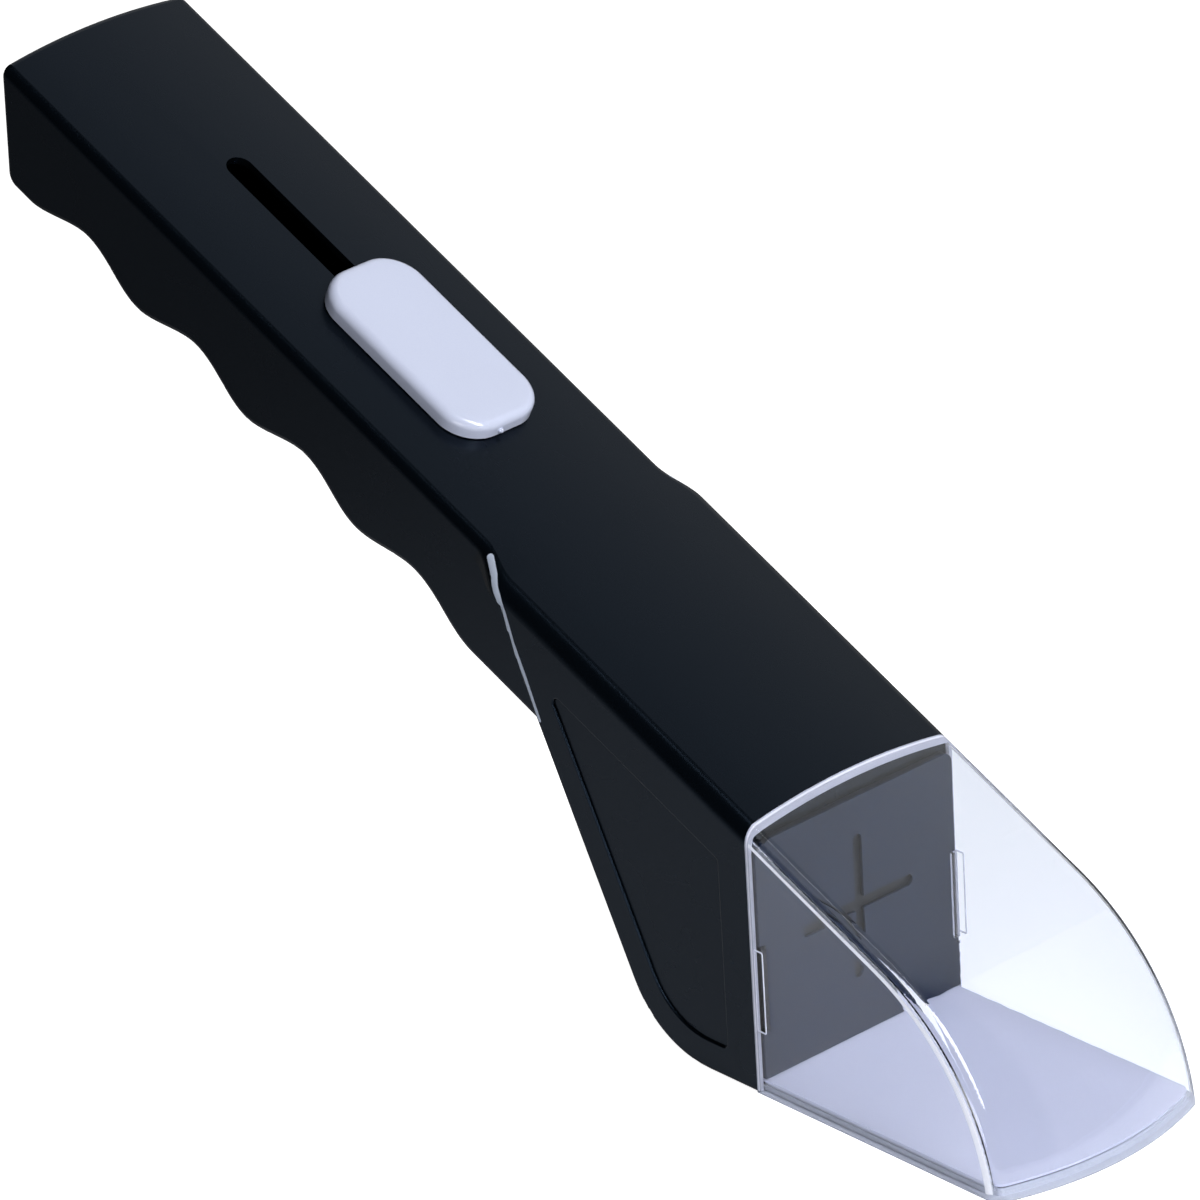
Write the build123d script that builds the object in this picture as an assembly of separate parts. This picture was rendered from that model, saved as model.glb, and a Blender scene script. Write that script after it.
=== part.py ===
from build123d import *
import math
import os

# An insect trap held in one hand: a long grip with finger waves, a wider head, and a clear
# chamber with an open mouth that a thin flexible sheet closes when the thumb button is forward.
# X points forward to the chamber's nose, Z up from the mouth's plane, Y across to the left.
# The origin lies on the mouth's plane, in the middle of the flat strip just behind the chamber.
# A place on the grip is given along the spine, back from the chamber, and as a depth below the
# line of its upper corners. Lengths are in millimetres and angles in degrees.

# Outer form
head_width = 52.0
grip_width_share = 0.866
junction_height = 50.3
junction_lean = 3.8
spine_slope = 23.9
spine_length = 207.3
end_lean = 3.3
crown = 2.0
heel_flat = 12.0
heel_radius = 21.0
ramp_slope = 60.7
head_corner_radius = 3.3
grip_corner_radius = 2.0
inner_corner_share = 0.5
cheek_edge_radius = 0.7

# Walls, gaps and cuts
shell_wall = 1.6
clear_wall = 1.6
clear_corner_share = 0.2
running_gap = 0.3
seat_gap = 0.1
cut_overrun = 8.0

# Flare between the grip and the head
flare_start = 65.0
flare_length = 9.5
cheek_top_along = 64.0
cheek_bend_height = 54.8

# Underside of the grip
parting_depth = 3.4
palm_depth = 21.3
palm_start = 30.0
palm_end = 67.5
groove_first = 85.3
finger_grooves = 4
first_groove_depth = 16.8
groove_depth = 15.8
ridge_depth = 19.9
ridge_share = 0.48
tail_run = 16.2
end_radius_share = 0.6
tail_corner_radius = 3.2

# Clear chamber
chamber_straight = 35.0
nose_radius = 49.5
ledge_width = 1.2
ledge_height = 1.6

# Snap tongues of the clear chamber
tongue_low = 11.7
tongue_high = 28.0
tongue_front = 1.9
tongue_back = 5.8
tongue_thickness = 1.2
hook_depth = 0.7
hook_length = 2.2
hook_margin = 2.5

# Recessed panel on each cheek
panel_recess = 0.5
panel_edge_radius = 0.35
panel_margin = 5.8
panel_front = 7.0
panel_top_depth = 10.1
panel_corner_radius = 1.0

# Rear wall of the chamber
plate_thickness = 1.5
plate_top_drop = 3.2
plate_corner_radius = 2.0
cross_reach = 13.4
cross_bar = 2.2
cross_depth = 0.7
cross_height = 26.8
flange_length = 7.0
flange_thickness = 1.2
flange_low = 31.0
flange_high = 42.0
bulkhead_thickness = 1.5
bulkhead_depth = 6.0

# Closing sheet
sheet_thickness = 0.5
shoulder_back = 8.0
shoulder_taper = 12.0
sheet_corner_radius = 1.6
tail_width = 16.0
tail_depth = 4.1
bend_radius = 40.0

# Sliding button, carriage and clamp
button_length = 43.0
button_width = 21.0
button_height = 3.3
button_corner_radius = 7.5
button_edge_radius = 1.5
button_front = 92.3
slot_width = 5.4
slot_rear = 168.5
slide_travel = 57.0
stem_length = 11.2
nib_radius = 0.5
nib_length = 0.7
nib_height = 1.0
nib_across = -2.0
carriage_start = 91.0
carriage_length = 34.0
clamp_thickness = 2.0
clamp_margin = 1.0
rib_width = 1.5
rib_overlap = 5.0
rib_depth = 5.4

# Screws and their bosses
screw_radius = 1.2
screw_play = 0.05
screw_head_radius = 2.3
screw_head_height = 1.4
screw_end_gap = 0.6
boss_wall = 1.7
boss_join_depth = 8.0
boss_margin = 8.25
seat_thickness = 1.8
seat_wall = 1.2
driver_bar = 0.7
driver_reach = 1.3
driver_depth = 0.8

# Tabs that hold the front of the top shell between the cheeks
tab_middle = 30.0
tab_length = 8.0
tab_depth = 9.0
tab_thickness = 1.2
catch_depth = 0.5
catch_height = 1.2

# Tracks that hold the sheet's edges in the head
track_width = 3.0
track_thickness = 1.4
track_back = 3.0
peg_radius = 1.0
peg_length = 0.6
ear_radius = 2.4
ear_thickness = 1.3
ear_shares = (0.15, 0.85)

# Worked out from the driving sizes
head_half = head_width / 2
grip_half = head_half * grip_width_share
underside_radius = grip_corner_radius * end_radius_share
boss_across = grip_half - boss_margin
tail_half = tail_width / 2
seam_foot = heel_flat / 2
seam_top = seam_foot - junction_lean
slope = math.radians(spine_slope)
ramp_angle = math.radians(ramp_slope)
forward = (math.cos(slope), -math.sin(slope))
outward = (math.sin(slope), math.cos(slope))
crown_radius = (head_half**2 + crown**2) / (2 * crown)
end_slant = math.tan(math.radians(end_lean))
flare_end = flare_start + flare_length
heel_centre = (seam_foot - heel_flat, heel_radius)
sheet_floor = shell_wall + running_gap
sheet_top = sheet_floor + sheet_thickness
blade_half = head_half - shell_wall - running_gap
slot_front = slot_rear - slide_travel - stem_length - 2 * running_gap
stem_middle = slot_front + running_gap + stem_length / 2
carriage_end = carriage_start + carriage_length
carriage_depth = tail_depth - seat_gap
clamp_top = tail_depth + sheet_thickness + seat_gap
clamp_bottom = clamp_top + clamp_thickness
clamp_screw_places = (carriage_start + carriage_length / 8, carriage_end - carriage_length / 8)
boss_radius = screw_radius + boss_wall
finger_pitch = (spine_length - tail_run - groove_first) / (finger_grooves - 1 + ridge_share)
groove_last = groove_first + (finger_grooves - 1) * finger_pitch
shell_screw_rows = (groove_first, groove_last)
shell_screw_places = [(along, side * boss_across) for side in (-1, 1) for along in shell_screw_rows]
end_top = (seam_top - spine_length * forward[0], junction_height - spine_length * forward[1])


def spine(along, depth):
    """Gives x and z of a place back along the spine and below its corner line."""
    return (
        seam_top - along * forward[0] - depth * outward[0],
        junction_height - along * forward[1] - depth * outward[1],
    )


def depth_of(x, z):
    """Gives the depth of a place below the corner line."""
    return (seam_top - x) * outward[0] + (junction_height - z) * outward[1]


def seam_x(height):
    """Gives x of the seam between the housing and the clear chamber at a height."""
    return seam_foot - junction_lean * height / junction_height


def arch_depth(across, inset):
    """Gives the depth of the arched skin, or of a skin inset below it, at a place across."""
    return crown_radius - crown - math.sqrt((crown_radius - inset) ** 2 - across**2)


def crown_shift(across):
    """Gives how far the chamber's outline moves forward at a place across, to follow the arch."""
    return -arch_depth(across, 0) / outward[0]


def cross_plane(along):
    """A plane across the spine: its first direction is Y and its second is depth."""
    x, z = spine(along, 0)
    return Plane(origin=(x, 0, z), x_dir=(0, 1, 0), z_dir=(-forward[0], 0, -forward[1]))


def bore_plane(along, across, depth):
    """A plane level with the spine: its first direction runs back and its normal points out."""
    x, z = spine(along, depth)
    back = (-forward[0], 0, -forward[1])
    return Plane(origin=(x, across, z), x_dir=back, z_dir=(outward[0], 0, outward[1]))


def side_solid(outline, half_width, middle=0):
    """A solid with a side outline, reaching the same half width to both sides of its middle."""
    return Pos(0, middle, 0) * extrude(Plane.XZ * make_face(outline), amount=half_width, both=True)


def side_polygon(points, half_width, middle=0):
    """A solid with straight edges in its side outline."""
    return side_solid(Polyline(*points, close=True), half_width, middle)


def spine_box(start, end, top, bottom, half_width, middle=0):
    """A box between two places along the spine and two depths."""
    corners = [spine(start, top), spine(end, top), spine(end, bottom), spine(start, bottom)]
    return side_polygon(corners, half_width, middle)


def spine_rod(along, across, top, bottom, radius):
    """A round rod square to the spine, between two depths."""
    return extrude(bore_plane(along, across, bottom) * Circle(radius), amount=bottom - top)


def both_sides(piece):
    """A piece and its mirror image on the other side."""
    return piece + mirror(piece, about=Plane.XZ)


def arched_face(along, half_width, inset, depth, corner):
    """A face across the spine with the arched top and rounded upper corners."""
    edge = arch_depth(half_width, inset)
    arch = ThreePointArc((-half_width, edge), (0, arch_depth(0, inset)), (half_width, edge))
    frame = Polyline((half_width, edge), (half_width, depth), (-half_width, depth), (-half_width, edge))
    face = make_face(arch + frame)
    if corner > 0:
        face = fillet(face.vertices().sort_by(Axis.Y)[:2], corner)
    return cross_plane(along) * face


def arched_run(start, end, half_width, inset, depth, corner=0):
    """A solid with the arched top, straight along the spine."""
    return extrude(arched_face(start, half_width, inset, depth, corner), amount=end - start)


def arched_flare(inset, depth):
    """The stretch of the top where the head's width draws in smoothly to the grip's."""
    sections = []
    steps = 6
    for step in range(steps + 1):
        share = step / steps
        blend = share * share * (3 - 2 * share)
        half_width = head_half + (grip_half - head_half) * blend - inset
        corner = inner_corner(head_corner_radius + (grip_corner_radius - head_corner_radius) * blend, inset)
        sections.append(arched_face(flare_start + share * flare_length, half_width, inset, depth, corner))
    return loft(sections)


def end_along(depth, inset):
    """Gives how far back the slightly leaning end face, or a face inset from it, lies at a depth."""
    share = outward[1] - outward[0] * end_slant
    return spine_length - (depth * (outward[0] + outward[1] * end_slant) + inset) / share


def end_offset(x, z):
    """Gives how far a place lies in front of the end face."""
    return x - end_top[0] - (end_top[1] - z) * end_slant


def before_end(inset):
    """A block that stops at the grip's end face, or at a face inset from it."""
    reach = spine_length / 2
    high = spine(end_along(-reach, inset), -reach)
    low = spine(end_along(reach, inset), reach)
    return side_polygon([high, low, (reach, low[1]), (reach, high[1])], head_width)


def inner_corner(radius, inset, share=inner_corner_share):
    """Gives the radius of an outer corner, or of the corner inside it where there is an inset."""
    return radius if inset == 0 else radius * share


def arched_block(start, end, inset, depth):
    """The whole top from the head over the flare to the grip, down to a depth."""
    head_corner = inner_corner(head_corner_radius, inset)
    grip_corner = inner_corner(grip_corner_radius, inset)
    head = arched_run(start, flare_start, head_half - inset, inset, depth, head_corner)
    grip = arched_run(flare_end, end, grip_half - inset, inset, depth, grip_corner)
    return head + arched_flare(inset, depth) + (grip & before_end(inset))


def ramp_point(height, inset):
    """Gives x and z of a place on the head's ramp, or on a line inset from it."""
    foot = seam_foot - heel_flat - heel_radius * math.tan(ramp_angle / 2)
    return (foot - height / math.tan(ramp_angle) + inset / math.sin(ramp_angle), height)


def ramp_meeting(inset, depth):
    """Gives x and z of the place where a line inset from the ramp reaches a depth."""
    low = ramp_point(0, inset)
    high = ramp_point(junction_height, inset)
    share = (depth_of(*low) - depth) / (depth_of(*low) - depth_of(*high))
    return ramp_point(junction_height * share, inset)


def seam_meeting(offset, depth):
    """Gives x and z of the place where a line behind the seam reaches a depth."""
    low = (seam_foot - offset, 0)
    high = (seam_top - offset, junction_height)
    share = (depth_of(*low) - depth) / (depth_of(*low) - depth_of(*high))
    return (low[0] + (high[0] - low[0]) * share, high[1] * share)


def heel_arc(inset):
    """The rounded heel between the flat strip and the ramp, or an arc inset from it."""
    radius = heel_radius - inset
    places = []
    for turn in (0, ramp_angle / 2, ramp_angle):
        places.append((heel_centre[0] - radius * math.sin(turn), heel_centre[1] - radius * math.cos(turn)))
    return ThreePointArc(*places)


def head_body(half_width, inset, front):
    """The head in side outline, with its heel, ramp and cheek's rear edge, open above its parting."""
    heel = heel_arc(inset)
    bend = ramp_point(cheek_bend_height, inset)
    crest = spine(cheek_top_along - inset, parting_depth)
    high = junction_height + cut_overrun
    front_top = (seam_x(high) + front, high)
    front_foot = (seam_x(inset) + front, inset)
    rear_edge = TangentArc(bend, crest, tangent=(-math.cos(ramp_angle), math.sin(ramp_angle)))
    crest_top = (rear_edge @ 1) + (rear_edge % 1) * 2 * cut_overrun
    outline = Line(front_foot, heel @ 0) + heel + Line(heel @ 1, bend) + rear_edge
    outline += Polyline(crest, crest_top, front_top, front_foot)
    return side_solid(outline, half_width)


def groove_floor(along):
    """Gives the depth of the finger groove at a place along, shallower at the first one."""
    return first_groove_depth if along == groove_first else groove_depth


def wave_places(inset):
    """The palm's end and the deepest and highest places of the finger waves, front to back."""
    places = [spine(palm_end, palm_depth - inset)]
    for groove in range(finger_grooves):
        along = groove_first + groove * finger_pitch
        places.append(spine(along, groove_floor(along) - inset))
        places.append(spine(along + finger_pitch * ridge_share, ridge_depth - inset))
    return places


def grip_body(inset):
    """The grip in side outline, with its finger waves and its end, open above its parting."""
    half_width = grip_half - inset
    places = wave_places(inset)
    back = (-forward[0], -forward[1])
    waves = Curve()
    for place, following in zip(places, places[1:]):
        waves += Spline(place, following, tangents=(back, back))
    tail = spine(end_along(ridge_depth - inset, inset), ridge_depth - inset)
    top = spine(end_along(parting_depth - cut_overrun, inset), parting_depth - cut_overrun)
    start = [spine(palm_start, parting_depth - cut_overrun), spine(palm_start, palm_depth - inset)]
    outline = Polyline(*start, places[0]) + waves + Polyline(places[-1], tail, top, start[0])
    face = make_face(outline)
    tail_vertex = face.vertices().sort_by_distance((tail[0], tail[1], 0))[0]
    face = fillet(tail_vertex, tail_corner_radius - inset)
    body = extrude(Plane.XZ * face, amount=half_width, both=True)
    rounded = []
    for edge in body.edges():
        middle = edge.center()
        at_side = abs(abs(middle.Y) - half_width) < seat_gap
        low = depth_of(middle.X, middle.Z) > parting_depth
        at_start = abs(middle.X - spine(palm_start, 0)[0]) < heel_flat
        at_end = end_offset(middle.X, middle.Z) < inset + seat_gap
        if at_side and (low or at_end) and not at_start:
            rounded.append(edge)
    return fillet(rounded, inner_corner(underside_radius, inset))


def nose_centre():
    """Gives x and z of the centre of the chamber's rounded nose."""
    x, z = spine(-chamber_straight, nose_radius)
    return (x, z)


def nose_x(height, inset, across):
    """Gives x of the chamber's nose, or of a face inset from it, at a height and a place across."""
    x, z = nose_centre()
    return x + math.sqrt((nose_radius - inset) ** 2 - (height - z) ** 2) + crown_shift(across)


def chamber_face(across, inset, rear, foot):
    """The chamber's side outline at a place across, from a rear overrun down to a foot height."""
    shift = crown_shift(across)
    centre_x, centre_z = nose_centre()
    radius = nose_radius - inset
    rear_top = spine(rear, inset)
    straight_end = spine(-chamber_straight, inset)
    end_turn = math.asin((foot - centre_z) / radius)
    start_turn = math.pi / 2 - slope
    middle_turn = (start_turn + end_turn) / 2
    places = [straight_end]
    for turn in (middle_turn, end_turn):
        places.append((centre_x + radius * math.cos(turn), centre_z + radius * math.sin(turn)))
    places = [(x + shift, z) for x, z in places]
    rear_start = (rear_top[0], rear_top[1])
    nose = ThreePointArc(*places)
    outline = Line((rear_start[0] + shift, rear_start[1]), places[0]) + nose
    outline += Polyline(places[2], (rear_start[0], foot), (rear_start[0] + shift, rear_start[1]))
    return Pos(0, across, 0) * (Plane.XZ * make_face(outline))


def chamber_block(inset, foot):
    """A solid block with the chamber's outer form, or a form inset from it."""
    half_width = head_half - inset
    sections = []
    steps = 8
    for step in range(steps + 1):
        across = half_width * (2 * step / steps - 1)
        sections.append(chamber_face(across, inset, cut_overrun, foot))
    block = loft(sections)
    rounded = []
    for edge in block.edges():
        middle = edge.center()
        at_side = abs(abs(middle.Y) - half_width) < seat_gap
        above = middle.Z > foot + seat_gap and middle.X > spine(cut_overrun, 0)[0] + seat_gap
        if at_side and above and edge.length > heel_flat:
            rounded.append(edge)
    return fillet(rounded, inner_corner(head_corner_radius, inset, clear_corner_share))


def behind_seam(offset, half_width):
    """A block behind the seam plane, moved forward by an offset."""
    low = -cut_overrun
    high = spine_length
    back = seam_foot - spine_length
    points = [(seam_x(low) + offset, low), (seam_x(high) + offset, high), (back, high), (back, low)]
    return side_polygon(points, half_width)


def screw(along, across, seat, tip):
    """A pan-head screw with a cross recess, driven from below towards the top."""
    shank = spine_rod(along, across, tip, seat, screw_radius)
    head = spine_rod(along, across, seat, seat + screw_head_height, screw_head_radius)
    head_bottom = seat + screw_head_height
    recess = Rectangle(2 * driver_reach, driver_bar) + Rectangle(driver_bar, 2 * driver_reach)
    socket = extrude(bore_plane(along, across, head_bottom) * recess, amount=driver_depth)
    return shank + head - socket


def catch_box(margin):
    """The small catch on a top shell's tab, or with a margin the pocket for it in the cheek."""
    start = tab_middle - tab_length / 2 - margin
    top = tab_depth - catch_height - margin
    inner = head_half - shell_wall - seat_gap
    half = (catch_depth + seat_gap) / 2
    end = start + tab_length + 2 * margin
    return spine_box(start, end, top, tab_depth + margin, half, inner + half - seat_gap + margin)


def make_top_shell():
    """The upper housing with its slot, guide ribs, screw bosses, tabs and front bulkhead."""
    reach = spine_length + cut_overrun
    outer = arched_block(-cut_overrun, reach, 0, parting_depth) & behind_seam(0, head_width)
    end_edges = []
    for edge in outer.edges():
        middle = edge.center()
        above = depth_of(middle.X, middle.Z) < parting_depth - seat_gap
        if above and abs(end_offset(middle.X, middle.Z)) < seat_gap:
            end_edges.append(edge)
    outer = fillet(end_edges, underside_radius)
    hollow = arched_block(-2 * cut_overrun, reach, shell_wall, parting_depth + cut_overrun)
    shell = outer - hollow
    carriage_half = tail_half + running_gap
    rib_middle = carriage_half + rib_width / 2
    rib_root = arch_depth(rib_middle, 0) + shell_wall / 2
    rib_end = carriage_end + slide_travel + rib_overlap
    rib_start = carriage_start - rib_overlap
    shell += both_sides(spine_box(rib_start, rib_end, rib_root, rib_depth, rib_width / 2, rib_middle))
    for along, across in shell_screw_places:
        root = arch_depth(across, 0) + shell_wall / 2
        shell += spine_rod(along, across, root, boss_join_depth, boss_radius)
    front_half = head_half - shell_wall - seat_gap
    front = arched_run(-cut_overrun, flare_start, front_half, shell_wall / 2, bulkhead_depth)
    shell += (front & behind_seam(0, head_width)) - behind_seam(-bulkhead_thickness, head_width)
    tab_place = front_half - tab_thickness / 2
    tab_start = tab_middle - tab_length / 2
    tab = spine_box(tab_start, tab_start + tab_length, shell_wall, tab_depth, tab_thickness / 2, tab_place)
    shell += both_sides(tab + catch_box(0))
    slot_middle = (slot_front + slot_rear) / 2
    slot = bore_plane(slot_middle, 0, parting_depth) * SlotOverall(slot_rear - slot_front, slot_width)
    shell -= extrude(slot, amount=parting_depth + cut_overrun)
    for along, across in shell_screw_places:
        tip = parting_depth - screw_end_gap
        shell -= spine_rod(along, across, tip, boss_join_depth, screw_radius + screw_play)
    return shell


def make_bottom_shell():
    """The lower housing: grip with finger waves, cheeks with panels, ramp, heel and screw seats."""
    head = head_body(head_half, 0, 0)
    softened = []
    for edge in head.edges():
        middle = edge.center()
        at_side = abs(abs(middle.Y) - head_half) < seat_gap
        if at_side and middle.X < seam_foot - seat_gap and depth_of(middle.X, middle.Z) > parting_depth:
            if not_on_seam(edge):
                softened.append(edge)
    head = fillet(softened, cheek_edge_radius)
    for side in (-1, 1):
        panel = cheek_panel(side)
        head -= panel
        rim = []
        for edge in head.edges():
            at_cheek = abs(edge.center().Y - side * head_half) < seat_gap
            if at_cheek and edge.distance_to(panel) < seat_gap:
                rim.append(edge)
        head = fillet(rim, panel_edge_radius)
    shell = head + grip_body(0)
    shell -= head_body(head_half - shell_wall, shell_wall, cut_overrun)
    shell -= grip_body(shell_wall)
    reach = spine_length + 2 * cut_overrun
    shell -= spine_box(-2 * cut_overrun, reach, -3 * cut_overrun, parting_depth, head_width)
    for along, across in shell_screw_places:
        bottom = groove_floor(along) - shell_wall / 2
        seat_radius = screw_head_radius + running_gap
        shell += spine_rod(along, across, boss_join_depth + seat_gap, bottom, seat_radius + seat_wall)
        shell -= spine_rod(along, across, boss_join_depth, ridge_depth, screw_radius + seat_gap)
        seat = boss_join_depth + seat_gap + seat_thickness
        shell -= spine_rod(along, across, seat, ridge_depth, seat_radius)
    inner = head_half - shell_wall
    pocket_x = seam_x(tongue_low) - tongue_back
    pocket = hook_outline(pocket_x, seat_gap)
    shell -= both_sides(side_polygon(pocket, (hook_depth + seat_gap) / 2, inner + hook_depth / 2))
    shell -= both_sides(catch_box(seat_gap))
    for share in ear_shares:
        x, z = ear_place(share)
        hole = Pos(x, 0, z) * Rot(-90, 0, 0) * Cylinder(peg_radius + screw_play, peg_length + seat_gap)
        shell -= both_sides(Pos(0, inner + (peg_length - seat_gap) / 2, 0) * hole)
    return shell


def not_on_seam(edge):
    """Tells whether an edge lies away from the seam plane."""
    middle = edge.center()
    return abs(middle.X - seam_x(middle.Z)) > seat_gap


def cheek_panel(side):
    """The shallow recess in one cheek, following the ramp, the heel and the spine."""
    heel = heel_arc(panel_margin)
    apex = ramp_meeting(panel_margin, panel_top_depth)
    low_front = (seam_x(panel_margin) - panel_front, panel_margin)
    high = seam_meeting(panel_front, panel_top_depth)
    outline = Line(low_front, heel @ 0) + heel + Line(heel @ 1, apex)
    face = make_face(outline + Polyline(apex, high, low_front))
    corners = []
    for corner in face.vertices():
        if corner.X > heel_centre[0] + seat_gap or corner.Y > heel_radius:
            corners.append(corner)
    face = fillet(corners, panel_corner_radius)
    panel = extrude(Plane.XZ * face, amount=panel_recess, both=True)
    return Pos(0, side * head_half, 0) * panel


def hook_outline(rear_x, margin):
    """The side outline of a snap hook, or with a margin of its pocket."""
    low = tongue_low + hook_margin - margin
    high = tongue_high - hook_margin + margin
    return [
        (rear_x - margin, low),
        (rear_x + hook_length + margin, low),
        (rear_x + hook_length + margin, high),
        (rear_x - margin, high),
    ]


def ear_place(share):
    """Gives x and z of a track ear's middle at a share of the ramp's height."""
    inset = sheet_top + running_gap + track_thickness + ear_radius / 2
    low = heel_centre[1] - (heel_radius - inset) * math.cos(ramp_angle)
    return ramp_point(low + (cheek_bend_height - low) * share, inset)


def make_chamber_cover():
    """The clear chamber with its ledge for the sheet and its two snap tongues."""
    cover = chamber_block(0, -cut_overrun / 4)
    ledge_bottom = side_polygon(
        [
            (-head_width, 0),
            (2 * head_width, 0),
            (2 * head_width, -2 * cut_overrun),
            (-head_width, -2 * cut_overrun),
        ],
        head_width,
    )
    cover = (cover - behind_seam(0, head_width)) - ledge_bottom
    inner = chamber_block(clear_wall, -cut_overrun / 2)
    mouth = chamber_block(clear_wall + ledge_width, -cut_overrun / 2)
    below = Pos(0, 0, ledge_height) * ledge_bottom
    cover -= inner - below
    cover -= mouth
    inner_half = head_half - clear_wall
    outer_face = inner_half - seat_gap
    tongue_middle = outer_face - tongue_thickness / 2
    tongue = side_polygon(tongue_outline(0), tongue_thickness / 2, tongue_middle)
    root_half = tongue_thickness / 2 + seat_gap
    root = side_polygon(tongue_outline(tongue_back), root_half, tongue_middle + seat_gap)
    hook_x = seam_x(tongue_low) - tongue_back
    hook_half = (hook_depth + seat_gap) / 2
    hook = side_polygon(hook_outline(hook_x, 0), hook_half, outer_face + hook_half - seat_gap)
    return cover + both_sides(tongue + root + hook)


def tongue_outline(short):
    """The side outline of a snap tongue, with its back moved forward by some length."""
    front_low = seam_x(tongue_low) + tongue_front
    front_high = seam_x(tongue_high) + tongue_front
    back = seam_x(tongue_low) - tongue_back + short
    if short > 0:
        return [
            (seam_x(tongue_low), tongue_low),
            (front_low, tongue_low),
            (front_high, tongue_high),
            (seam_x(tongue_high), tongue_high),
        ]
    return [(back, tongue_low), (front_low, tongue_low), (front_high, tongue_high), (back, tongue_high)]


def make_rear_wall():
    """The plate behind the chamber, with its cross recess and two side flanges."""
    low = sheet_top + running_gap
    high = junction_height - plate_top_drop
    half_width = head_half - clear_wall - seat_gap
    points = [
        (seam_x(low), low),
        (seam_x(low) + plate_thickness, low),
        (seam_x(high) + plate_thickness, high),
        (seam_x(high), high),
    ]
    plate = side_polygon(points, half_width)
    corners = []
    for edge in plate.edges():
        middle = edge.center()
        if abs(abs(middle.Y) - half_width) < seat_gap and abs(middle.Z - high) < seat_gap:
            corners.append(edge)
    plate = fillet(corners, plate_corner_radius)
    front_x = seam_x(cross_height) + plate_thickness
    bar = SlotOverall(2 * cross_reach, cross_bar)
    bars = bar + Rot(0, 0, 90) * bar
    facing = (junction_height, 0, junction_lean)
    cross_face = Plane(origin=(front_x, 0, cross_height), x_dir=(0, 1, 0), z_dir=facing)
    plate -= extrude(cross_face * bars, amount=-cross_depth)
    notch_half = tongue_thickness / 2 + seat_gap
    notch_points = [
        (seam_foot - head_half, tongue_low - seat_gap),
        (seam_foot + head_half, tongue_low - seat_gap),
        (seam_foot + head_half, tongue_high + seat_gap),
        (seam_foot - head_half, tongue_high + seat_gap),
    ]
    notch_middle = half_width - (tongue_thickness - seat_gap) / 2
    plate -= both_sides(side_polygon(notch_points, notch_half, notch_middle))
    flange_points = [
        (seam_x(flange_low) - flange_length, flange_low),
        (seam_x(flange_low) + plate_thickness / 2, flange_low),
        (seam_x(flange_high) + plate_thickness / 2, flange_high),
        (seam_x(flange_high) - flange_length, flange_high),
    ]
    flange = side_polygon(flange_points, flange_thickness / 2, half_width - flange_thickness / 2)
    return plate + both_sides(flange)


def sheet_line(inset, depth, bend, front_x, tail_along):
    """One face of the closing sheet in side view: mouth, heel, ramp, bend and tail."""
    places = [
        (front_x, inset),
        ramp_point(inset, inset),
        ramp_meeting(inset, depth),
        spine(tail_along, depth),
    ]
    return FilletPolyline(*places, radius=[heel_radius - inset, bend])


def make_closing_sheet():
    """The thin flexible sheet that closes the mouth and runs back into the grip."""
    front_x = nose_x(sheet_floor, clear_wall, 0)
    tail_along = carriage_end - clamp_margin
    lower = sheet_line(sheet_floor, tail_depth + sheet_thickness, bend_radius, front_x, tail_along)
    upper = sheet_line(sheet_top, tail_depth, bend_radius + sheet_thickness, front_x, tail_along)
    outline = lower + upper + Line(lower @ 0, upper @ 0) + Line(lower @ 1, upper @ 1)
    band = side_solid(outline, blade_half)
    edge_inset = clear_wall + running_gap
    corner_x = nose_x(sheet_top, edge_inset, blade_half)
    middle_x = nose_x(sheet_top, edge_inset, 0)
    shoulder = seam_foot - shoulder_back
    neck = shoulder - shoulder_taper
    back = spine(spine_length, 0)[0]
    plan = ThreePointArc((corner_x, -blade_half), (middle_x, 0), (corner_x, blade_half))
    plan += Polyline(
        (corner_x, blade_half),
        (shoulder, blade_half),
        (neck, tail_half),
        (back, tail_half),
        (back, -tail_half),
        (neck, -tail_half),
        (shoulder, -blade_half),
        (corner_x, -blade_half),
    )
    face = make_face(plan)
    tips = [corner for corner in face.vertices() if corner.X > seam_foot]
    prism = Pos(0, 0, -cut_overrun) * extrude(fillet(tips, sheet_corner_radius), amount=spine_length)
    sheet = band & prism
    for along in (stem_middle, *clamp_screw_places):
        sheet -= spine_rod(along, 0, 0, clamp_bottom, screw_radius + seat_gap)
    return sheet


def make_slide_button():
    """The thumb button with its stem through the slot."""
    middle = button_front + button_length / 2
    outline = RectangleRounded(button_length, button_width, button_corner_radius)
    prism = extrude(bore_plane(middle, 0, 0) * outline, amount=cut_overrun)
    cap_start = button_front - cut_overrun
    cap_end = button_front + button_length + cut_overrun
    skin = -running_gap - button_height
    cap = prism & arched_run(cap_start, cap_end, button_width, skin, parting_depth)
    top_edges = []
    for edge in cap.edges():
        place = edge.center()
        if depth_of(place.X, place.Z) < -running_gap - crown:
            top_edges.append(edge)
    cap = fillet(top_edges, button_edge_radius)
    cap -= arched_run(cap_start, cap_end, button_width, -running_gap, parting_depth)
    stem_outline = SlotOverall(stem_length, slot_width - 2 * running_gap)
    stem = bore_plane(stem_middle, 0, carriage_depth - seat_gap) * stem_outline
    stem = extrude(stem, amount=carriage_depth + crown + running_gap)
    nib = cross_plane(button_front - nib_length) * (Pos(nib_across, -crown - nib_height) * Circle(nib_radius))
    button = cap + stem + extrude(nib, amount=2 * nib_length)
    tip = arch_depth(0, 0) - screw_end_gap
    return button - spine_rod(stem_middle, 0, tip, carriage_depth, screw_radius + screw_play)


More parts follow.
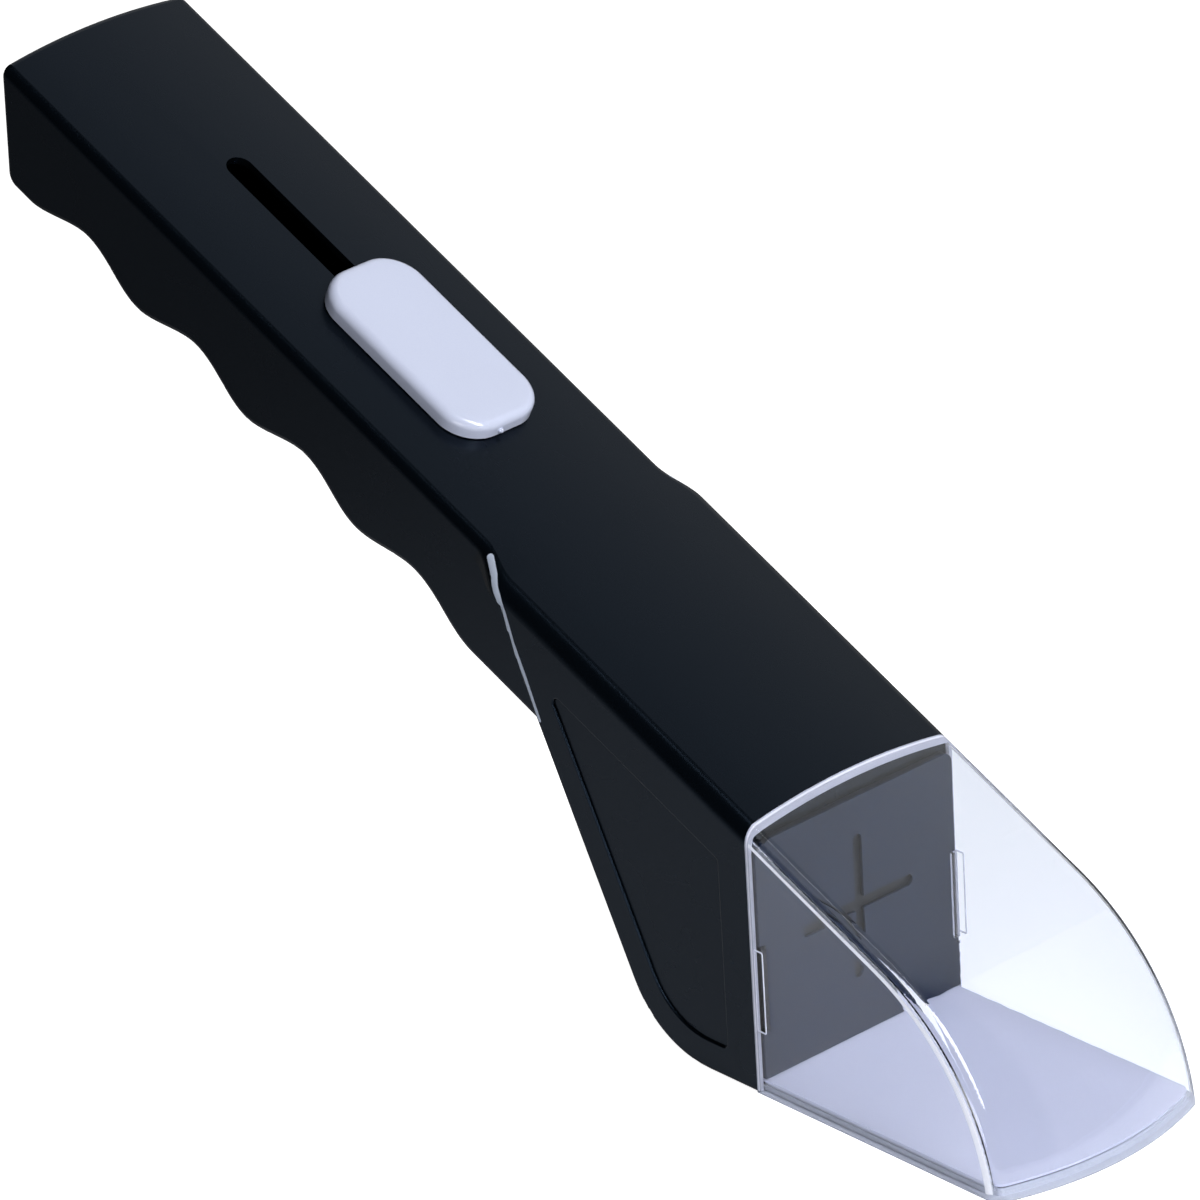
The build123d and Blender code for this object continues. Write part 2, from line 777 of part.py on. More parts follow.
def make_slide_carriage():
    """The carriage under the top shell that the button's stem sits in."""
    carriage = arched_run(carriage_start, carriage_end, tail_half, shell_wall + running_gap, carriage_depth)
    width = slot_width - 2 * running_gap + 2 * seat_gap
    hole = SlotOverall(stem_length + 2 * seat_gap, width)
    hole = bore_plane(stem_middle, 0, carriage_depth + cut_overrun) * hole
    carriage -= extrude(hole, amount=2 * cut_overrun)
    for along in clamp_screw_places:
        carriage -= spine_rod(along, 0, screw_end_gap, carriage_depth, screw_radius + screw_play)
    return carriage


def make_sheet_clamp():
    """The plate that clamps the sheet's tail against the carriage."""
    half_width = tail_half - clamp_margin
    start = carriage_start + clamp_margin
    clamp = spine_box(start, carriage_end - clamp_margin, clamp_top, clamp_bottom, half_width)
    for along in (stem_middle, *clamp_screw_places):
        top = clamp_top - seat_gap
        clamp -= spine_rod(along, 0, top, clamp_bottom + seat_gap, screw_radius + seat_gap)
    return clamp


def make_track(side):
    """One curved track that holds the sheet's edge down in the head."""
    low = sheet_top + running_gap
    high = low + track_thickness
    front = seam_foot - track_back
    top_low = ramp_point(cheek_bend_height, low)
    top_high = ramp_point(cheek_bend_height, high)
    lower = FilletPolyline((front, low), ramp_point(low, low), top_low, radius=heel_radius - low)
    upper = FilletPolyline((front, high), ramp_point(high, high), top_high, radius=heel_radius - high)
    outer_face = head_half - shell_wall - seat_gap
    outline = lower + upper + Line(lower @ 0, upper @ 0) + Line(lower @ 1, upper @ 1)
    track = side_solid(outline, track_width / 2, side * (outer_face - track_width / 2))
    for share in ear_shares:
        x, z = ear_place(share)
        disc = Rot(90, 0, 0) * Cylinder(ear_radius, ear_thickness)
        ear = Pos(x, side * (outer_face - ear_thickness / 2), z) * disc
        reach = peg_length + ear_thickness / 2
        peg_middle = outer_face + peg_length - reach / 2
        peg = Pos(x, side * peg_middle, z) * Rot(90, 0, 0) * Cylinder(peg_radius, reach)
        track += ear + peg
    return track


def make_shell_screws():
    """The four screws that join the shells, driven from the finger grooves."""
    seat = boss_join_depth + seat_gap + seat_thickness
    return [screw(along, across, seat, parting_depth) for along, across in shell_screw_places]


def make_clamp_screws():
    """The two screws that hold the clamp to the carriage."""
    return [screw(along, 0, clamp_bottom, screw_end_gap + seat_gap) for along in clamp_screw_places]


def make_button_screw():
    """The screw that ties clamp, sheet and carriage to the button's stem."""
    return [screw(stem_middle, 0, clamp_bottom, arch_depth(0, 0))]


def save(name, piece):
    """Writes one node as a STEP file."""
    shape = Compound(children=piece) if isinstance(piece, list) else piece
    export_step(shape, os.path.join("parts", name + ".step"))
    print(name, round(shape.volume, 1))


def main():
    """Builds every node and writes it."""
    os.makedirs("parts", exist_ok=True)
    save("top_shell", make_top_shell())
    save("bottom_shell", make_bottom_shell())
    save("chamber_cover", make_chamber_cover())
    save("rear_wall", make_rear_wall())
    save("closing_sheet", make_closing_sheet())
    save("slide_button", make_slide_button())
    save("slide_carriage", make_slide_carriage())
    save("sheet_clamp", make_sheet_clamp())
    save("left_sheet_track", make_track(1))
    save("right_sheet_track", make_track(-1))
    save("shell_screws", make_shell_screws())
    save("clamp_screws", make_clamp_screws())
    save("button_screw", make_button_screw())


main()
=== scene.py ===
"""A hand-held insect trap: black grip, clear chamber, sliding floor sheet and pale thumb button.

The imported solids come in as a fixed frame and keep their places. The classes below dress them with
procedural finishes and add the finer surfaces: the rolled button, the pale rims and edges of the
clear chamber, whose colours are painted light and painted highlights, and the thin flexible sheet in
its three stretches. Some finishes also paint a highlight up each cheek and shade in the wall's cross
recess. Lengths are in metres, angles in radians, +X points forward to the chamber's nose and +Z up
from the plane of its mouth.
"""

import logging
import math
from dataclasses import dataclass, field
from enum import Enum

import bpy
import numpy as np
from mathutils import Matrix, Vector


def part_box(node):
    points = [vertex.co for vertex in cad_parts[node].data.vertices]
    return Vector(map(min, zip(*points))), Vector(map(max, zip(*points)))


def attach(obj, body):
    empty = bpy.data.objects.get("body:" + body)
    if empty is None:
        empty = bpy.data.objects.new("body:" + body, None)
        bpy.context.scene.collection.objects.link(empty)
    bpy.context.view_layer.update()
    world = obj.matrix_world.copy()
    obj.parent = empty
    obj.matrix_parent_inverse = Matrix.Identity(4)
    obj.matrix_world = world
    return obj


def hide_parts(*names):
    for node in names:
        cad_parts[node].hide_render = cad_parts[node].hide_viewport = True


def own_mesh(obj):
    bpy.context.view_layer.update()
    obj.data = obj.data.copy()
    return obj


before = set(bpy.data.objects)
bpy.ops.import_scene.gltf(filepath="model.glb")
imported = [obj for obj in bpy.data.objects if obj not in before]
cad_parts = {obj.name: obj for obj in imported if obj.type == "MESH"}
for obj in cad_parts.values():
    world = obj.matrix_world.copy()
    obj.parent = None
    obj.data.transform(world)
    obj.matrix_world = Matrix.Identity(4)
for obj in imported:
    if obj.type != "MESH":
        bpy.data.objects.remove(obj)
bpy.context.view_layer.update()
LOG = logging.getLogger("insect_trap")

SHARP_EDGE = math.radians(40)

Colour = tuple[float, float, float]
Place = tuple[float, float, float]
Pair = tuple[np.ndarray, np.ndarray]
Shell = tuple[np.ndarray, list]
Piece = bpy.types.Object
Material = bpy.types.Material
Node = bpy.types.Node
Socket = bpy.types.NodeSocket


class Slot(Enum):
    """Names of material slots for the new pieces, which nothing reads."""

    CLEAR_COVER = "clear_cover"
    BUTTON = "button"
    SHEET = "sheet"


class Body(Enum):
    """The bodies that pieces ride on."""

    HOUSING = "housing"
    SLIDER = "slider"


# Shared form


@dataclass(frozen=True)
class TrapForm:
    """The form that the trap's pieces share, in side view and across.

    The spine is the line of the grip's upper corners. A place on it is given by a length back from
    the seam and a depth square to it.
    """

    head_half: float
    spine_slope: float = math.radians(23.9)
    ramp_slope: float = math.radians(60.7)
    seam_top: tuple[float, float] = (0.0022, 0.0503)
    seam_foot: float = 0.006
    crown: float = 0.002
    heel_flat: float = 0.012
    heel_radius: float = 0.021
    corner_radius: float = 0.0033
    inner_corner_share: float = 0.2
    clear_wall: float = 0.0016
    gap: float = 0.0003

    @classmethod
    def from_frame(cls) -> "TrapForm":
        """Reads the head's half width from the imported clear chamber."""
        return cls(head_half=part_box("chamber_cover")[1].y)

    @property
    def crown_radius(self) -> float:
        """Radius of the arched skin: (half width squared + crown squared) / (2 crown)."""
        return (self.head_half**2 + self.crown**2) / (2 * self.crown)

    def corner_centre(self, inset: float, corner: float) -> tuple[float, float]:
        """Centre of the circle that rounds a corner of an outline across the spine.

        It touches the side and the arch and lies R - inset - corner from the arch's own centre.

        Args:
            inset: How far the outline lies inside the outer one.
            corner: The circle's radius.

        Returns:
            Its place across and its depth.
        """
        across = self.head_half - inset - corner
        reach = self.crown_radius - inset - corner
        return across, self.crown_radius - self.crown - math.sqrt(reach**2 - across**2)

    @property
    def forward(self) -> np.ndarray:
        """Direction along the spine towards the chamber, in X and Z."""
        return np.array([math.cos(self.spine_slope), -math.sin(self.spine_slope)])

    @property
    def outward(self) -> np.ndarray:
        """Direction square to the spine, up out of the top, in X and Z."""
        return np.array([math.sin(self.spine_slope), math.cos(self.spine_slope)])

    def spine(self, along: np.ndarray, depth: np.ndarray) -> Pair:
        """X and Z of places on the spine: seam top - along * forward - depth * outward.

        Args:
            along: Lengths back from the seam.
            depth: Depths square to the spine.

        Returns:
            The X and the Z of each place.
        """
        x = self.seam_top[0] - along * self.forward[0] - depth * self.outward[0]
        z = self.seam_top[1] - along * self.forward[1] - depth * self.outward[1]
        return x, z

    def arch_depth(self, across: np.ndarray) -> np.ndarray:
        """Depth of the arched skin below the corner line: R - crown - sqrt(R^2 - y^2).

        Args:
            across: Places across, along Y.

        Returns:
            The depth at each place, negative above the line.
        """
        return self.crown_radius - self.crown - np.sqrt(self.crown_radius**2 - across**2)

    @property
    def seam_lean(self) -> float:
        """How far the seam plane leans back for each length up."""
        return (self.seam_foot - self.seam_top[0]) / self.seam_top[1]

    @property
    def seam_rate(self) -> float:
        """Depth square to the spine for each length down the seam plane."""
        return float(self.outward[1] - self.seam_lean * self.outward[0])

    def on_seam(self, depth: np.ndarray) -> Pair:
        """X and Z where the leaning seam plane reaches a depth: z = top - depth / rate.

        Args:
            depth: Depths square to the spine.

        Returns:
            The X and the Z of each place on the seam.
        """
        z = self.seam_top[1] - depth / self.seam_rate
        return self.seam_foot - self.seam_lean * z, z


# Mesh helpers


def quads(rows: int, columns: int, wrap: bool = False) -> np.ndarray:
    """Corner numbers of the quads on a grid of points.

    Args:
        rows: Number of rows of points.
        columns: Number of points in a row.
        wrap: True if the last point of a row joins the first.

    Returns:
        One row of four corner numbers for each quad.
    """
    row = np.arange(rows - 1)[:, None]
    column = np.arange(columns if wrap else columns - 1)[None, :]
    after = (column + 1) % columns
    corners = [
        row * columns + column,
        row * columns + after,
        (row + 1) * columns + after,
        (row + 1) * columns + column,
    ]
    return np.stack(corners, axis=-1).reshape(-1, 4)


def closed_tube(grid: np.ndarray) -> Shell:
    """Points and faces of rings joined into a tube and closed at both ends.

    Args:
        grid: Points in rings, shaped (rings, points in a ring, 3), turning left along the tube.

    Returns:
        The points and the faces.
    """
    rings, around = grid.shape[:2]
    faces = quads(rings, around, wrap=True).tolist()
    first = np.arange(around)[::-1].tolist()
    last = ((rings - 1) * around + np.arange(around)).tolist()
    return grid.reshape(-1, 3), faces + [first, last]


def closed_slab(top: np.ndarray, bottom: np.ndarray) -> Shell:
    """Points and faces of a thin solid between two grids of the same shape.

    Args:
        top: Points of the upper face, shaped (rows, columns, 3).
        bottom: Points of the lower face, below them.

    Returns:
        The points and the faces, with the rim closed.
    """
    rows, columns = top.shape[:2]
    count = rows * columns
    upper = quads(rows, columns)
    lower = upper[:, ::-1] + count
    index = np.arange(count).reshape(rows, columns)
    rim = np.concatenate([index[0, :-1], index[:-1, -1], index[-1, :0:-1], index[:0:-1, 0]])
    after = np.roll(rim, -1)
    side = np.stack([after, rim, rim + count, after + count], axis=-1)
    faces = np.concatenate([upper, lower, side])
    return np.concatenate([top.reshape(-1, 3), bottom.reshape(-1, 3)]), faces.tolist()


def mirrored(half: np.ndarray, sign: int = 1) -> np.ndarray:
    """Carries a row that ends on the middle plane back out over the other side.

    Args:
        half: The values of the first side, the last one on the middle plane.
        sign: 1 if the other side has the same values and -1 if it has their opposites.

    Returns:
        The values of both sides.
    """
    return np.concatenate([half, sign * half[-2::-1]])


def round_turn(count: int) -> np.ndarray:
    """The angles of evenly spaced points round a circle."""
    return np.linspace(0, 2 * math.pi, count, endpoint=False)


def round_rectangle(core: tuple[float, float], radius: object, count: int) -> Pair:
    """A rectangle with round corners, run once round.

    The point at each angle is the core's corner on its side plus the radius in its direction.

    Args:
        core: Half lengths of the straight sides.
        radius: Radius of the corners, or a row of them.
        count: Points round it.

    Returns:
        Places along and across from its middle, with a column for each radius of a row.
    """
    turn = round_turn(count)[:, None] + math.pi / count
    along = np.sign(np.cos(turn)) * core[0] + radius * np.cos(turn)
    across = np.sign(np.sin(turn)) * core[1] + radius * np.sin(turn)
    return np.squeeze(along), np.squeeze(across)


def placed(x: object, y: object, z: object) -> np.ndarray:
    """Puts the X, Y and Z of places together, each of them an array or one number for all."""
    return np.stack(np.broadcast_arrays(x, y, z), axis=-1)


def linked(name: str, data: bpy.types.ID) -> Piece:
    """Makes an object of its data and links it to the scene."""
    made = bpy.data.objects.new(name, data)
    bpy.context.scene.collection.objects.link(made)
    return made


def outward_solid(name: str, parts: list[Shell], sharp: float = SHARP_EDGE) -> Piece:
    """Makes one object from closed shells, with its faces turned outwards.

    Args:
        name: The piece's name.
        parts: Points and faces of each closed shell.
        sharp: Angle above which an edge stays sharp.

    Returns:
        The new object, linked to the scene, with smooth shading.
    """
    points, faces, start = [], [], 0
    for shell_points, shell_faces in parts:
        outwards = signed_volume(shell_points, shell_faces) > 0
        turned = shell_faces if outwards else [face[::-1] for face in shell_faces]
        points.append(shell_points)
        faces += [[corner + start for corner in face] for face in turned]
        start += len(shell_points)
    mesh = bpy.data.meshes.new(name)
    mesh.from_pydata(np.concatenate(points).tolist(), [], faces)
    mesh.validate()
    mesh.polygons.foreach_set("use_smooth", np.ones(len(mesh.polygons), bool))
    mesh.set_sharp_from_angle(angle=sharp)
    mesh.update()
    return linked(name, mesh)


def signed_volume(points: np.ndarray, faces: list) -> float:
    """Volume inside a closed shell, negative where its faces point inwards.

    The sum over each face's fan of triangles of a . (b x c) / 6.

    Args:
        points: The shell's points.
        faces: Its faces, as lists of corner numbers.

    Returns:
        The signed volume.
    """
    triangles = np.array([(f[0], f[i], f[i + 1]) for f in faces for i in range(1, len(f) - 1)])
    a, b, c = (points[triangles[:, i]] for i in range(3))
    return float(np.einsum("ij,ij->i", a, np.cross(b, c)).sum() / 6)


# Shader helpers


class NodeSheet:
    """Adds nodes to one tree and links them, so that a material reads from top to bottom."""

    def __init__(self, tree: bpy.types.NodeTree) -> None:
        """Keeps the tree that the nodes go into."""
        self.tree = tree

    def node(self, kind: str, **settings: object) -> Node:
        """Adds a node and sets its plain settings.

        Args:
            kind: The node's type name.
            settings: Attributes of the node.

        Returns:
            The new node.
        """
        made = self.tree.nodes.new(kind)
        for name, value in settings.items():
            setattr(made, name, value)
        return made

    def link(self, source: Socket, target: Socket) -> None:
        """Links an output to an input."""
        self.tree.links.new(source, target)

    def maths(self, operation: str, first: object, second: object = 0.0) -> Socket:
        """Adds a Math node.

        Args:
            operation: The node's operation.
            first: A number or an output to read.
            second: A number or an output to read.

        Returns:
            The node's output.
        """
        made = self.node("ShaderNodeMath", operation=operation)
        for socket, value in zip(made.inputs, (first, second)):
            self.feed(value, socket)
        return made.outputs[0]

    def feed(self, value: object, socket: Socket) -> None:
        """Links an output to a socket, or sets the socket to a plain value."""
        if isinstance(value, Socket):
            self.link(value, socket)
        else:
            socket.default_value = value

    def vector(self, operation: str, first: object, second: object) -> Socket:
        """Adds a Vector Math node.

        Args:
            operation: The node's operation.
            first: A vector or an output to read.
            second: A vector, or a factor to scale by, or an output to read.

        Returns:
            The node's number if its operation gives one, or else its vector.
        """
        made = self.node("ShaderNodeVectorMath", operation=operation)
        self.feed(first, made.inputs[0])
        self.feed(second, made.inputs["Scale"] if operation == "SCALE" else made.inputs[1])
        return made.outputs["Value" if operation in ("DISTANCE", "DOT_PRODUCT") else "Vector"]

    def noise(self, place: Socket, scale: float, detail: float) -> Socket:
        """Adds a noise that reads a place.

        Args:
            place: The output that gives the place.
            scale: Waves for each metre.
            detail: How many finer layers the noise has.

        Returns:
            The noise's value.
        """
        made = self.node("ShaderNodeTexNoise")
        for name, value in (("Vector", place), ("Scale", scale), ("Detail", detail)):
            self.feed(value, made.inputs[name])
        return made.outputs[0]

    def spread(self, value: Socket, low: object, high: object, start: float, end: float) -> Socket:
        """Maps a value from start..end to low..high, smoothly and held at its ends.

        Args:
            value: The output to read.
            low: The result at start.
            high: The result at end.
            start: Where the change begins.
            end: Where it ends.

        Returns:
            The mapped value.
        """
        made = self.node("ShaderNodeMapRange", interpolation_type="SMOOTHSTEP")
        given = {"Value": value, "From Min": start, "From Max": end, "To Min": low, "To Max": high}
        for name, number in given.items():
            self.feed(number, made.inputs[name])
        return made.outputs[0]

    def blend(self, share: object, first: object, second: object) -> Socket:
        """Blends two colours.

        Args:
            share: The share of the second colour.
            first: A colour or an output to read.
            second: A colour or an output to read.

        Returns:
            The blended colour.
        """
        made = self.node("ShaderNodeMix", data_type="RGBA")
        self.feed(share, made.inputs[0])
        for socket, given in zip((made.inputs[6], made.inputs[7]), (first, second)):
            self.feed((*given, 1.0) if isinstance(given, tuple) else given, socket)
        return made.outputs[2]


class MaterialSheet(NodeSheet):
    """The node sheet of a new material, with its shader and the output that gives the place."""

    def __init__(self, name: str, inputs: dict[str, object]) -> None:
        """Starts the material.

        Args:
            name: Its name.
            inputs: Plain values for inputs of its shader.
        """
        self.material = bpy.data.materials.new(name)
        self.material.use_nodes = True
        super().__init__(self.material.node_tree)
        self.shader = self.tree.nodes["Principled BSDF"]
        for socket, value in inputs.items():
            self.shader.inputs[socket].default_value = value
        self.place = self.node("ShaderNodeTexCoord").outputs["Object"]

    def axes(self) -> dict[str, Socket]:
        """The place's X, Y and Z."""
        made = self.node("ShaderNodeSeparateXYZ")
        self.link(self.place, made.inputs[0])
        return dict(zip("XYZ", made.outputs))

    def ahead(self, foot: float, lean: float) -> Socket:
        """How far the place lies forward of a leaning plane: x + lean * z - foot.

        Args:
            foot: The plane's X at the mouth.
            lean: How far it leans back for each length up.

        Returns:
            The distance along X.
        """
        axes = self.axes()
        upright = self.maths("ADD", axes["X"], self.maths("MULTIPLY", axes["Z"], lean))
        return self.maths("SUBTRACT", upright, foot)


class SharedEffect:
    """A shader node group that reads a place and named numbers, built once."""

    name = ""
    inputs: tuple[str, ...] = ()
    outputs: tuple[str, ...] = ()

    def group(self) -> bpy.types.NodeTree:
        """The node group, made at its first use."""
        found = bpy.data.node_groups.get(self.name)
        if found is not None:
            return found
        tree = bpy.data.node_groups.new(self.name, "ShaderNodeTree")
        tree.interface.new_socket("Place", in_out="INPUT", socket_type="NodeSocketVector")
        for way, names in (("INPUT", self.inputs), ("OUTPUT", self.outputs)):
            for name in names:
                tree.interface.new_socket(name, in_out=way, socket_type="NodeSocketFloat")
        sheet = NodeSheet(tree)
        self.fill(sheet, sheet.node("NodeGroupInput").outputs, sheet.node("NodeGroupOutput").inputs)
        return tree

    def fill(self, sheet: NodeSheet, source: object, target: object) -> None:
        """Adds the group's nodes.

        Args:
            sheet: The node sheet of the group.
            source: The group's inputs.
            target: The group's outputs.
        """
        raise NotImplementedError

    def place(self, sheet: NodeSheet, **values: object) -> Node:
        """Places the group in a material.

        Args:
            sheet: The material's node sheet.
            values: The place's output, and a number or an output for each other input.

        Returns:
            The group's node.
        """
        made = sheet.node("ShaderNodeGroup", node_tree=self.group())
        for name, value in values.items():
            sheet.feed(value, made.inputs[name])
        return made


class MouldGrain(SharedEffect):
    """The fine grain that a mould leaves on plastic, with a slow unevenness below it."""

    name = "mould_grain"
    inputs = ("Grain", "Waves")
    outputs = ("Height", "Speck")

    grain_scale = 5200.0
    grain_detail = 3.0
    wave_scale = 42.0
    wave_detail = 1.0

    def fill(self, sheet: NodeSheet, source: object, target: object) -> None:
        """Height = grain noise * Grain + slow noise * Waves. Speck is the grain noise alone."""
        grain = sheet.noise(source["Place"], self.grain_scale, self.grain_detail)
        slow = sheet.noise(source["Place"], self.wave_scale, self.wave_detail)
        fine = sheet.maths("MULTIPLY", grain, source["Grain"])
        broad = sheet.maths("MULTIPLY", slow, source["Waves"])
        sheet.link(sheet.maths("ADD", fine, broad), target["Height"])
        sheet.link(grain, target["Speck"])


class HandlingWear(SharedEffect):
    """Roughness that varies where hands have smeared the surface, with hairline marks."""

    name = "handling_wear"
    inputs = ("Roughness", "Smear", "Hairlines")
    outputs = ("Roughness",)

    smear_scale = 55.0
    smear_detail = 4.0
    hairline_scale = 900.0
    hairline_detail = 2.0
    hairline_start = 0.66
    hairline_end = 0.74
    stretch = (0.06, 1.0, 0.35)
    turn = (0.0, math.radians(24), math.radians(8))

    def fill(self, sheet: NodeSheet, source: object, target: object) -> None:
        """Roughness = given + (slow noise - 1/2) * Smear + thin stretched streaks * Hairlines."""
        slow = sheet.noise(source["Place"], self.smear_scale, self.smear_detail)
        smear = sheet.maths("MULTIPLY", sheet.maths("SUBTRACT", slow, 0.5), source["Smear"])
        stretched = sheet.node("ShaderNodeMapping")
        sheet.link(source["Place"], stretched.inputs["Vector"])
        stretched.inputs["Scale"].default_value = self.stretch
        stretched.inputs["Rotation"].default_value = self.turn
        streak = sheet.noise(stretched.outputs[0], self.hairline_scale, self.hairline_detail)
        thin = sheet.spread(streak, 0.0, 1.0, self.hairline_start, self.hairline_end)
        lines = sheet.maths("MULTIPLY", thin, source["Hairlines"])
        total = sheet.maths("ADD", sheet.maths("ADD", source["Roughness"], smear), lines)
        sheet.link(total, target["Roughness"])


MOULD_GRAIN = MouldGrain()
HANDLING_WEAR = HandlingWear()


# Finishes


@dataclass(frozen=True, kw_only=True)
class MouldedFinish:
    """What every moulded surface has: gloss, grain and signs of handling."""

    name: str
    roughness: float
    grain: float = 1.0
    waves: float = 0.0
    bump: float = 0.3
    bump_depth: float = 0.00004
    smear: float = 0.06
    hairlines: float = 0.0

    def surface(self, sheet: MaterialSheet) -> Socket:
        """Adds grain and wear and feeds them to the shader.

        Args:
            sheet: The material's node sheet.

        Returns:
            The grain's own noise.
        """
        grain = MOULD_GRAIN.place(sheet, Place=sheet.place, Grain=self.grain, Waves=self.waves)
        wear = HANDLING_WEAR.place(
            sheet, Place=sheet.place, Roughness=self.roughness, Smear=self.smear, Hairlines=self.hairlines
        )
        sheet.link(wear.outputs["Roughness"], sheet.shader.inputs["Roughness"])
        bump = sheet.node("ShaderNodeBump")
        bump.inputs["Strength"].default_value = self.bump
        bump.inputs["Distance"].default_value = self.bump_depth
        sheet.link(grain.outputs["Height"], bump.inputs["Height"])
        sheet.link(bump.outputs[0], sheet.shader.inputs["Normal"])
        return grain.outputs["Speck"]


@dataclass(frozen=True, kw_only=True)
class PlasticFinish(MouldedFinish):
    """An opaque moulded plastic, whose colour varies with its grain between colour and shade."""

    colour: Colour
    shade: Colour
    specular: float
    tint: Colour = (1.0, 1.0, 1.0)
    coat: float = 0.0
    coat_gloss: float = 3.0
    shade_start: float = 0.35
    shade_end: float = 0.65

    def material(self) -> Material:
        """The finished material."""
        inputs = {
            "Specular IOR Level": self.specular,
            "Specular Tint": (*self.tint, 1.0),
            "Coat Weight": self.coat,
            "Coat Roughness": self.roughness / self.coat_gloss,
        }
        sheet = MaterialSheet(self.name, inputs)
        share = sheet.spread(self.surface(sheet), 0.0, 1.0, self.shade_start, self.shade_end)
        plain = sheet.blend(share, self.colour, self.shade)
        sheet.link(self.paint(sheet, plain), sheet.shader.inputs["Base Color"])
        return sheet.material

    def paint(self, sheet: MaterialSheet, plain: Socket) -> Socket:
        """Lays over the plain colour what is painted there, which is nothing for most; some finishes paint
        a highlight or shade.

        Args:
            sheet: The material's node sheet.
            plain: The plain colour.

        Returns:
            The colour to show.
        """
        return plain


@dataclass(frozen=True, kw_only=True)
class HousingFinish(PlasticFinish):
    """The housing's plastic, with a painted highlight: a pale line up the rear edge of each cheek."""

    # painted highlight: this pale colour stands for light caught along each cheek's rear edge
    painted_highlight: Colour = (0.53, 0.6, 0.74)
    line: tuple[Place, ...] = (
        (-0.0474, 0.026, 0.0537),
        (-0.0511, 0.026, 0.0611),
        (-0.0541, 0.026, 0.0665),
        (-0.0563, 0.026, 0.0717),
        (-0.0577, 0.0259, 0.0743),
        (-0.0586, 0.0257, 0.0755),
        (-0.0601, 0.0245, 0.0773),
        (-0.0628, 0.0227, 0.0792),
    )
    line_half: float = 0.00025
    line_edge: float = 0.00015
    line_spread: float = 0.00035

    def distance(self, sheet: MaterialSheet) -> Socket:
        """Adds the distance from a place to the line, the least of those to its stretches.

        The distance to a stretch from a to b is |o - h (b - a)| with o = p - a and
        h = o . (b - a) / |b - a|^2, held between 0 and 1. Both sides of the housing share one line.

        Args:
            sheet: The material's node sheet.

        Returns:
            The distance.
        """
        axes = sheet.axes()
        axes["Y"] = sheet.maths("ABSOLUTE", axes["Y"])
        folded = sheet.node("ShaderNodeCombineXYZ")
        for name, value in axes.items():
            sheet.link(value, folded.inputs[name])
        nearest = None
        for start, end in zip(self.line, self.line[1:]):
            run = Vector(end) - Vector(start)
            offset = sheet.vector("SUBTRACT", folded.outputs[0], start)
            held = sheet.node("ShaderNodeClamp")
            sheet.link(sheet.vector("DOT_PRODUCT", offset, run / run.length_squared), held.inputs["Value"])
            away = sheet.vector("DISTANCE", offset, sheet.vector("SCALE", run, held.outputs[0]))
            nearest = away if nearest is None else sheet.maths("MINIMUM", nearest, away)
        return nearest

    def paint(self, sheet: MaterialSheet, plain: Socket) -> Socket:
        """The painted highlight fills the line, which gets broader from its foot to its top."""
        extra = sheet.spread(sheet.axes()["Z"], 0.0, self.line_spread, self.line[0][2], self.line[-1][2])
        inside = sheet.maths("SUBTRACT", self.distance(sheet), extra)
        line = sheet.spread(inside, 1.0, 0.0, self.line_half, self.line_half + self.line_edge)
        return sheet.blend(line, plain, self.painted_highlight)


@dataclass(frozen=True, kw_only=True)
class CrossWallFinish(PlasticFinish):
    """The rear wall's plastic, with painted shade darkening the floor of its cross recess."""

    # painted shade: this darker colour on the recess floor stands for the shade in the cross recess
    painted_recess_shade: Colour = (0.001, 0.002, 0.005)
    face_foot: float = 0.0075
    lean: float = 0.0755
    recess_start: float = 0.0003
    recess_end: float = 0.0006

    def paint(self, sheet: MaterialSheet, plain: Socket) -> Socket:
        """From recess_end behind the leaning front face on, the painted recess shade is all that shows."""
        ahead = sheet.ahead(self.face_foot, self.lean)
        share = sheet.spread(ahead, 1.0, 0.0, -self.recess_end, -self.recess_start)
        return sheet.blend(share, plain, self.painted_recess_shade)


@dataclass(frozen=True, kw_only=True)
class RimFinish(PlasticFinish):
    """The polished end of a clear wall as a pale band of painted light, with a painted highlight along its
    middle.
    """

    # painted highlight: this bright colour stands for light gathered along the middle of the wall's end
    painted_highlight: Colour = (0.7, 0.71, 0.79)
    rim_start: float = 0.006
    lean: float = 0.0755
    line_start: float = 0.00018
    line_end: float = 0.00052
    line_edge: float = 0.00012

    def paint(self, sheet: MaterialSheet, plain: Socket) -> Socket:
        """The painted highlight fills the stretch from line_start to line_end forward of the seam plane."""
        ahead = sheet.ahead(self.rim_start, self.lean)
        risen = sheet.spread(ahead, 0.0, 1.0, self.line_start, self.line_start + self.line_edge)
        line = sheet.spread(ahead, risen, 0.0, self.line_end, self.line_end + self.line_edge)
        return sheet.blend(line, plain, self.painted_highlight)


@dataclass(frozen=True, kw_only=True)
class ClearFinish(MouldedFinish):
    """Clear polished plastic with a faint tint and a slow moulding unevenness."""

    tint: Colour
    ior: float
    passed: Colour = (0.95, 0.955, 0.97)

    def material(self) -> Material:
        """The finished material: a refracting shader with slight waves in its surface.

        Lamps shine through each of its faces, dimmed by the passed colour.
        """
        inputs = {"Base Color": (*self.tint, 1.0), "Transmission Weight": 1.0, "IOR": self.ior}
        sheet = MaterialSheet(self.name, inputs)
        self.surface(sheet)
        open_face = sheet.node("ShaderNodeBsdfTransparent")
        open_face.inputs["Color"].default_value = (*self.passed, 1.0)
        either = sheet.node("ShaderNodeMixShader")
        lamp_ray = sheet.node("ShaderNodeLightPath").outputs["Is Shadow Ray"]
        for source, target in zip((lamp_ray, sheet.shader.outputs[0], open_face.outputs[0]), either.inputs):
            sheet.link(source, target)
        sheet.link(either.outputs[0], sheet.tree.nodes["Material Output"].inputs["Surface"])
        return sheet.material


